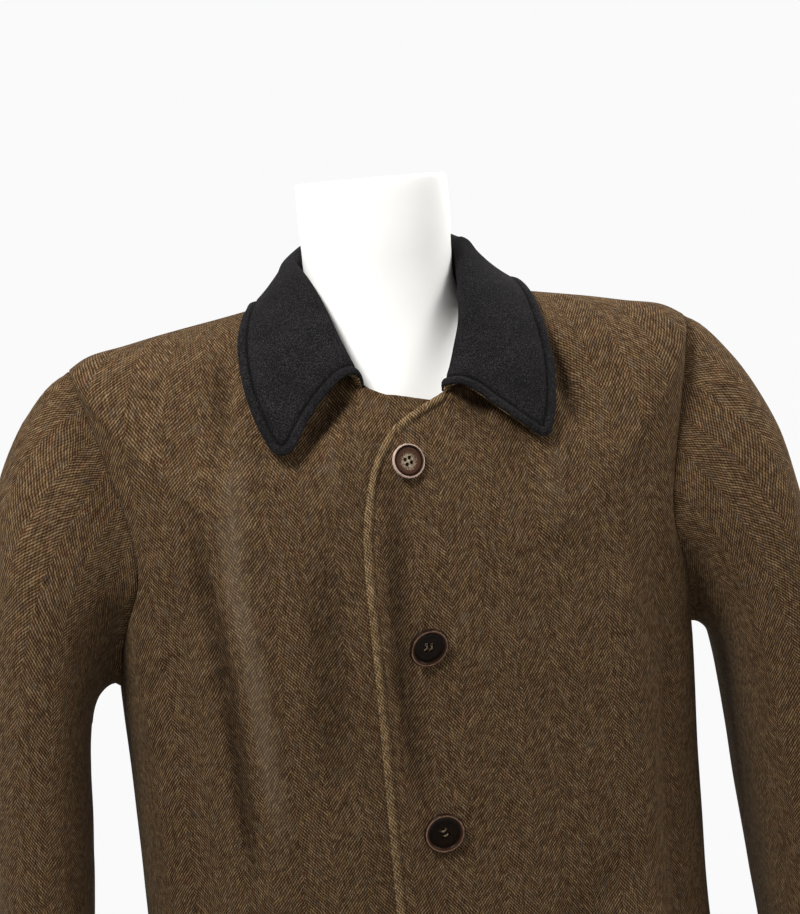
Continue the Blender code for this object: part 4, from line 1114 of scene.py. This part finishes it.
# The dark horn's pale ring at 0.945 is a painted highlight, for the bright arcs on a polished rim.
DARK_RINGS = ((0.05, "#160d07"), (0.62, "#140c07"), (0.76, "#0c0503"), (0.88, "#3a261a"),
              (0.945, "#8d6f5c"), (0.965, "#46301f"), (1.0, "#1a100a"))
worn_horn = horn("worn_horn_resin", WORN_RINGS, "#3a281d", gloss=0.34, shine=0.05, specks=1.1)
dark_horn = horn("dark_horn_resin", DARK_RINGS, "#1f140d", gloss=0.20, shine=0.045, specks=0.0)
print("materials:", worn_horn.name, dark_horn.name)

# %% [markdown]
# ## Buttons
#
# A button is turned on a lathe: half its section, spun round, with four holes drilled after. The
# section is a smooth curve through a few points, given as shares of the radius and of the height.
# Each plain solid tells where its button sits: the middle of its points, and the thin direction
# through them. The thread is wound into a shank behind the button and crosses it in two short bars.

# %% Sections and the row of buttons
WORN_SECTION = ((0.0, 0.10), (0.45, 0.06), (0.70, 0.0), (0.90, 0.12), (0.985, 0.38), (1.0, 0.60),
                (0.985, 0.84), (0.945, 0.99), (0.905, 0.95), (0.865, 0.70), (0.835, 0.58),
                (0.80, 0.66), (0.74, 0.72), (0.60, 0.71), (0.52, 0.69), (0.48, 0.62), (0.30, 0.60),
                (0.0, 0.60))
DARK_SECTION = ((0.0, 0.10), (0.45, 0.06), (0.70, 0.0), (0.90, 0.14), (0.985, 0.42), (1.0, 0.62),
                (0.98, 0.86), (0.93, 0.99), (0.87, 1.0), (0.815, 0.93), (0.775, 0.78), (0.74, 0.66),
                (0.68, 0.61), (0.45, 0.57), (0.20, 0.55), (0.0, 0.55))
Button = namedtuple("Button", "node turn section finish thread thread_shows")
BUTTONS = (
    Button("button_1", 17.0, WORN_SECTION, worn_horn, brown_thread, False),
    Button("button_2", 82.0, DARK_SECTION, dark_horn, pale_thread, True),
    Button("button_3", 20.0, DARK_SECTION, dark_horn, pale_thread, True),
    Button("button_4", 55.0, DARK_SECTION, dark_horn, pale_thread, True),
)


# %% Turn, place and drill
def turned(points, steps):
    """A closed bmesh turned from half a section, given as radius and height."""
    shape = bmesh.new()
    verts = [shape.verts.new((radius, 0.0, height)) for radius, height in points]
    edges = [shape.edges.new(pair) for pair in zip(verts[:-1], verts[1:])]
    bmesh.ops.spin(shape, geom=verts + edges, cent=(0.0, 0.0, 0.0), axis=(0.0, 0.0, 1.0),
                   angle=math.tau, steps=steps, use_merge=True, use_duplicate=False)
    bmesh.ops.remove_doubles(shape, verts=shape.verts, dist=MADE_CLOSE)
    bmesh.ops.recalc_face_normals(shape, faces=shape.faces)
    for face in shape.faces:
        face.smooth = True
    return shape


def seat_of(node, turn):
    """A button's place, read from its plain solid, with its radius and height."""
    points = np.array([vert.co for vert in NODES[node].data.vertices])
    points = np.unique(points.round(6), axis=0)
    axis = Vector(np.linalg.svd(points - points.mean(axis=0), full_matrices=False)[2][2])
    axis = axis if axis.y < 0.0 else -axis
    side = Vector((0.0, 0.0, 1.0)).cross(axis).normalized()
    turning = Matrix((side, axis.cross(side), axis)).transposed()
    local = points @ np.array(turning)
    low, high = local.min(axis=0), local.max(axis=0)
    foot = turning @ Vector(((low[0] + high[0]) / 2.0, (low[1] + high[1]) / 2.0, low[2]))
    seat = Matrix.Translation(foot) @ turning.to_4x4() @ Matrix.Rotation(math.radians(turn), 4, "Z")
    return seat, (high[0] - low[0]) / 2.0, high[2] - low[2]


def drilled(shape, drills):
    """A mesh of one closed shape with others cut out of it."""
    blocks = []
    for name, part in (("blank", shape), ("drill", drills)):
        blocks.append(placed(name, finished(name, part)))
    cut = blocks[0].modifiers.new("holes", "BOOLEAN")
    cut.operation, cut.solver, cut.object = "DIFFERENCE", "EXACT", blocks[1]
    result = blocks[0].evaluated_get(bpy.context.evaluated_depsgraph_get())
    made = bpy.data.meshes.new_from_object(result)
    for block in blocks:
        bpy.data.objects.remove(block)
    return made


HOLE_RADIUS, HOLE_OUT = 0.00150, 0.0026


def hole_drills(height):
    """Four upright drills round the middle of a button."""
    drills = bmesh.new()
    for quarter in range(4):
        turn = Matrix.Rotation(math.radians(45.0 + 90.0 * quarter), 4, "Z")
        bmesh.ops.create_cone(drills, cap_ends=True, segments=20, radius1=HOLE_RADIUS,
                              radius2=HOLE_RADIUS, depth=height * 3.0,
                              matrix=turn @ Matrix.Translation((HOLE_OUT, 0.0, height / 2.0)))
    return drills


# %% Thread
HOLE_SIDE = HOLE_OUT * 0.7071
STRAND_RADIUS, STRAND_OFF = 0.00026, 0.00030
STRAND_SINK, STRAND_RISE, STRAND_DROP = 0.0012, 0.0009, 0.0003
STRAND_BEND = math.radians(100.0)
SHANK_FOOT, SHANK_HEAD, SHANK_DEPTH, SHANK_MIDDLE = 0.0024, 0.0019, 0.0030, -0.0010


def button_thread(top, shows):
    """A bmesh of the thread: the shank behind a button and, if it shows, two bars of two strands."""
    strands = bmesh.new()
    for side in (-1.0, 1.0) if shows else ():
        for off in (-STRAND_OFF, STRAND_OFF):
            start = Vector((HOLE_SIDE, side * HOLE_SIDE + off, top - STRAND_SINK))
            ring = bmesh.ops.create_circle(strands, segments=8, radius=STRAND_RADIUS,
                                           matrix=Matrix.Translation(start))
            edges = list(dict.fromkeys(edge for vert in ring["verts"] for edge in vert.link_edges))
            lift = bmesh.ops.extrude_edge_only(strands, edges=edges)["geom"]
            verts = [item for item in lift if isinstance(item, bmesh.types.BMVert)]
            bmesh.ops.translate(strands, verts=verts, vec=(0.0, 0.0, STRAND_RISE))
            edges = [item for item in lift if isinstance(item, bmesh.types.BMEdge)]
            bmesh.ops.spin(strands, geom=verts + edges,
                           cent=(0.0, start.y, start.z - STRAND_DROP),
                           axis=(0.0, 1.0, 0.0), angle=-STRAND_BEND, steps=10)
    bmesh.ops.create_cone(strands, cap_ends=True, segments=20, radius1=SHANK_FOOT, radius2=SHANK_HEAD,
                          depth=SHANK_DEPTH, matrix=Matrix.Translation((0.0, 0.0, SHANK_MIDDLE)))
    for face in strands.faces:
        face.smooth = True
    return strands


# %% Turn, drill and sew on the buttons
SECTION_POINTS, ROUND_STEPS, SHARP_FROM = 64, 96, math.radians(40.0)
for button in BUTTONS:
    seat, radius, height = seat_of(button.node, button.turn)
    section = np.array(button.section) * (radius, height)
    places = run_along(section)
    section = through(places, section, np.linspace(0.0, places[-1], SECTION_POINTS))
    section[:, 0] = np.clip(section[:, 0], 0.0, radius)
    mesh = drilled(turned(section, ROUND_STEPS), hole_drills(height))
    mesh.name = button.node + "_turned"
    out = np.array([math.hypot(vert.co.x, vert.co.y) / radius for vert in mesh.vertices])
    mesh.attributes.new("from_middle", "FLOAT", "POINT").data.foreach_set("value", out)
    for face in mesh.polygons:
        face.use_smooth = True
    mesh.set_sharp_from_angle(angle=SHARP_FROM)
    mesh.transform(seat)
    as_piece(button.node + "_turned", mesh, button.finish, "horn", button.node)
    strands = button_thread(button.section[-1][1] * height, button.thread_shows)
    mesh = finished(button.node + "_thread", strands)
    mesh.transform(seat)
    as_piece(button.node + "_thread", mesh, button.thread, "horn")
    print(f"{button.node}: {radius * 2000:.1f} mm across, {height * 1000:.1f} mm high")

# %% [markdown]
# ## The dress form and its stand
#
# The form is a smooth white torso with a cut-off neck, on a steel pole and a round enamelled base.
# Its rings of points are read back and refined in the same way as a sleeve, only closed at the ends.
# The stand's parts are turned from their own sections.

# %% Form finishes
def paint(name, skin, clouds, detail, stops, rough, strength, ior):
    """Paint with a fine bumpy skin, and with clouds in its colour and its gloss."""
    material, tree = new_material(name)
    at = add(tree, "TexCoord", {})["Object"]
    peel = add(tree, "TexNoise", {"Vector": at, "Scale": skin, "Detail": 2.0})[0]
    cloudy = add(tree, "TexNoise", {"Vector": at, "Scale": clouds, "Detail": detail})[0]
    tone = add(tree, "ValToRGB", {"Fac": cloudy}, stops=stops)[0]
    gloss = add(tree, "MapRange", {"Value": cloudy, "To Min": rough[0], "To Max": rough[1]})[0]
    bump = add(tree, "Bump", {"Height": peel, "Strength": strength, "Distance": 0.0004})[0]
    principled(tree, {"Base Color": tone, "Normal": bump, "Roughness": gloss, "IOR": ior})
    return material


# Sprayed lacquer over a moulded shell: very fine orange peel, and faint cloudiness.
white_form = paint("white_satin_lacquer", 420.0, 14.0, 3.0, ((0.3, "#f3f1ec"), (0.7, "#f8f7f4")),
                   rough=(0.42, 0.52), strength=0.05, ior=1.48)
# Powder coat flows into a pebbled skin, about a millimetre from bump to bump.
enamel = paint("white_powder_coat", 700.0, 30.0, 5.0, ((0.35, "#dddbd6"), (0.62, "#e9e8e4")),
               rough=(0.36, 0.56), strength=0.15, ior=1.50)

brushed_steel, tree = new_material("brushed_stainless_steel")
at = add(tree, "TexCoord", {})["Object"]
# Brushing round the pole leaves hair lines; they are drawn half a millimetre apart so that they show.
turned_lines = add(tree, "VectorMath", {0: at, 1: (6.0, 6.0, 2000.0)}, operation="MULTIPLY")[0]
hairs = add(tree, "TexNoise", {"Vector": turned_lines, "Scale": 1.0, "Detail": 3.0})[0]
tone = add(tree, "ValToRGB", {"Fac": hairs}, stops=((0.3, "#b9bbbd"), (0.7, "#d6d7d8")))[0]
rough = add(tree, "MapRange", {"Value": hairs, "To Min": 0.22, "To Max": 0.40})[0]
bump = add(tree, "Bump", {"Height": hairs, "Strength": 0.10, "Distance": 0.0002})[0]
principled(tree, {
    "Base Color": tone, "Normal": bump, "Roughness": rough, "Metallic": 1.0})

print("materials:", white_form.name, brushed_steel.name, enamel.name)

# %% The form's body
CAP_DEPTH = 0.0005
sheet = bmesh.new()
sheet.from_mesh(NODES["form_body"].data)
bmesh.ops.remove_doubles(sheet, verts=sheet.verts, dist=STORED_CLOSE)
low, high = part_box("form_body")
caps = [face for face in sheet.faces
        if min(vert.co.z for vert in face.verts) > high[2] - CAP_DEPTH
        or max(vert.co.z for vert in face.verts) < low[2] + CAP_DEPTH]
bmesh.ops.delete(sheet, geom=caps, context="FACES")
GRIDS["form_body"], FACINGS["form_body"] = read_grid(
    "form_body", sheet, lambda at: at.z, lambda at: at.y)

# The neck stands straight up to the collar's roll, a few millimetres fuller than the plain solid.
NECK_LEFT = np.array((1.2, 4.2, 6.4, 5.2)) * 0.001
NECK_RIGHT = np.array((-0.6, 0.8, 2.0, 1.0)) * 0.001
neck = GRIDS["form_body"][:len(NECK_LEFT)]
half = np.abs(neck[:, :, 0]).max(axis=1)[:, None]
fuller = np.where(neck[:, :, 0] > 0.0, NECK_LEFT[:, None], NECK_RIGHT[:, None])
neck[:, :, 0] += fuller * neck[:, :, 0] / half
form = Panel(0.0090, 0.0100, (False, False, False, False), None, (), False)
points = refine("form_body", GRIDS["form_body"], form, True)
# Under the coat it is drawn in by a millimetre, because the smooth curve stands proud of the facets.
DRAWN_IN, BELOW_NECK, NECK_BLEND, FOOT_BLEND = 0.0012, 1.458, 0.02, 0.05
heights = points[:, :, 2:]
under = (np.clip((BELOW_NECK - heights) / NECK_BLEND, 0.0, 1.0)
         * np.clip((heights - low[2]) / FOOT_BLEND, 0.0, 1.0))
points -= normals_of(points, FACINGS["form_body"], True) * DRAWN_IN * under
points[:, -1] = points[:, 0]
sheet = grid_sheet(points)
bmesh.ops.remove_doubles(sheet, verts=sheet.verts, dist=MADE_CLOSE)
rims = [edge for edge in sheet.edges if edge.is_boundary]
bmesh.ops.holes_fill(sheet, edges=rims, sides=0)
RIM_BEVEL = 0.0025
bmesh.ops.bevel(sheet, geom=rims, offset=RIM_BEVEL, affect="EDGES", segments=4, profile=0.5,
                material=-1)
bmesh.ops.recalc_face_normals(sheet, faces=sheet.faces)
for face in sheet.faces:
    face.smooth = len(face.verts) < 5
mesh = finished("form_shell", sheet)
as_piece("form_shell", mesh, white_form, "form_white", "form_body")
print(f"form_shell: {len(mesh.polygons)} faces")


# %% The stand's turned parts
def soft_section(node, *points):
    """Half a section for a turned part: shares of its radius, and heights above its underside."""
    low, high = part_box(node)
    radius = (high[0] - low[0]) / 2.0
    return [(share * radius, low[2] + height) for share, height in points]


TALL = NODES["stand_pole"].dimensions.z
THICK = NODES["form_flange"].dimensions.z
STAND = (
    ("stand_base", enamel, "base_enamel",
     ((0.0, 0.0), (0.9940, 0.0), (0.9985, 0.0004), (1.0, 0.0013), (1.0, 0.0092), (0.9985, 0.0106),
      (0.9925, 0.0117), (0.980, 0.0120), (0.260, 0.0123), (0.215, 0.0129), (0.185, 0.0143),
      (0.166, 0.0170), (0.156, 0.0205), (0.128, 0.0372), (0.121, 0.0403), (0.116, 0.0414),
      (0.107, 0.0420), (0.0, 0.0420))),
    ("stand_pole", brushed_steel, "steel",
     ((0.0, 0.0), (0.94, 0.0), (1.0, 0.0008), (1.0, TALL - 0.0008), (0.94, TALL), (0.0, TALL))),
    ("form_flange", brushed_steel, "steel",
     ((0.0, 0.0), (0.955, 0.0), (0.985, 0.0006), (1.0, 0.0020), (1.0, THICK - 0.0006),
      (0.988, THICK), (0.0, THICK))),
)
STAND_STEPS, STAND_SHARP_FROM = 128, math.radians(35.0)
for node, finish, slot, points in STAND:
    mesh = finished(node + "_turned", turned(soft_section(node, *points), STAND_STEPS))
    mesh.set_sharp_from_angle(angle=STAND_SHARP_FROM)
    as_piece(node + "_turned", mesh, finish, slot, node)
    print(f"{node}_turned: {len(mesh.polygons)} faces")

# %% [markdown]
# ## Floor and light
#
# The coat stands on a round pale floor, before a white wall, in a room that is dimmer on the viewer's
# side. White all round would fill every fold, so the light falls off towards the front. One soft
# lamp, high on the wearer's right, models the chest, the folds and the rolled edges. A wider one at
# the wearer's left lifts the neck and the shoulder there, and one behind keeps the back from going
# flat. The view is shown as plain sRGB, so that a colour in a material is nearly the colour on the
# screen.

# %% Floor
FLOOR_RADIUS = 1.6

# Painted board, rolled on: even, dull, and only faintly mottled.
painted_floor, tree = new_material("pale_painted_floor")
at = add(tree, "TexCoord", {})["Object"]
mottle = add(tree, "TexNoise", {"Vector": at, "Scale": 3.0, "Detail": 4.0})[0]
tone = add(tree, "ValToRGB", {"Fac": mottle}, stops=((0.3, "#f7f7f6"), (0.7, "#fbfbfa")))[0]
rough = add(tree, "MapRange", {"Value": mottle, "To Min": 0.55, "To Max": 0.70})[0]
principled(tree, {
    "Base Color": tone, "Roughness": rough, "Specular IOR Level": 0.2})
plane = bmesh.new()
bmesh.ops.create_circle(plane, cap_ends=True, segments=128, radius=FLOOR_RADIUS)
mesh = finished("floor", plane)
mesh.materials.append(painted_floor)
floor = placed("floor", mesh)
print("floor:", FLOOR_RADIUS, "m in radius")

# %% World and lights
WALL_BEHIND, ROOM_IN_FRONT = 0.955, 0.30

world = bpy.data.worlds.new("white_studio")
world.use_nodes = True
tree = world.node_tree
way = add(tree, "TexCoord", {})["Generated"]
depth = add(tree, "SeparateXYZ", {0: way})[1]
bright = add(tree, "MapRange", {
    "Value": depth, "From Min": -0.40, "From Max": 0.60, "To Min": ROOM_IN_FRONT,
    "To Max": WALL_BEHIND}, interpolation_type="SMOOTHSTEP")[0]
tree.links.new(bright, tree.nodes["Background"].inputs["Strength"])
tree.nodes["Background"].inputs["Color"].default_value = (1.0, 1.0, 1.0, 1.0)
bpy.context.scene.world = world
Lamp = namedtuple("Lamp", "name azimuth elevation distance size power")
LAMPS = (
    Lamp("key_softbox", -46.0, 48.0, 1.6, 0.45, 36.0),
    Lamp("side_softbox", 76.0, 30.0, 1.8, 0.9, 20.0),
    Lamp("back_softbox", 125.0, 40.0, 3.4, 1.2, 58.0),
)
for lamp in LAMPS:
    towards = direction(math.radians(lamp.azimuth), math.radians(lamp.elevation))
    glow = bpy.data.lights.new(lamp.name, "AREA")
    glow.shape = "SQUARE"
    glow.size = lamp.size
    glow.energy = lamp.power
    stand = placed(lamp.name, glow)
    stand.matrix_world = (Matrix.Translation(AIM + towards * lamp.distance)
                          @ towards.to_track_quat("Z", "Y").to_matrix().to_4x4())
bpy.context.scene.view_settings.view_transform = "Standard"
print("lights:", ", ".join(lamp.name for lamp in LAMPS))
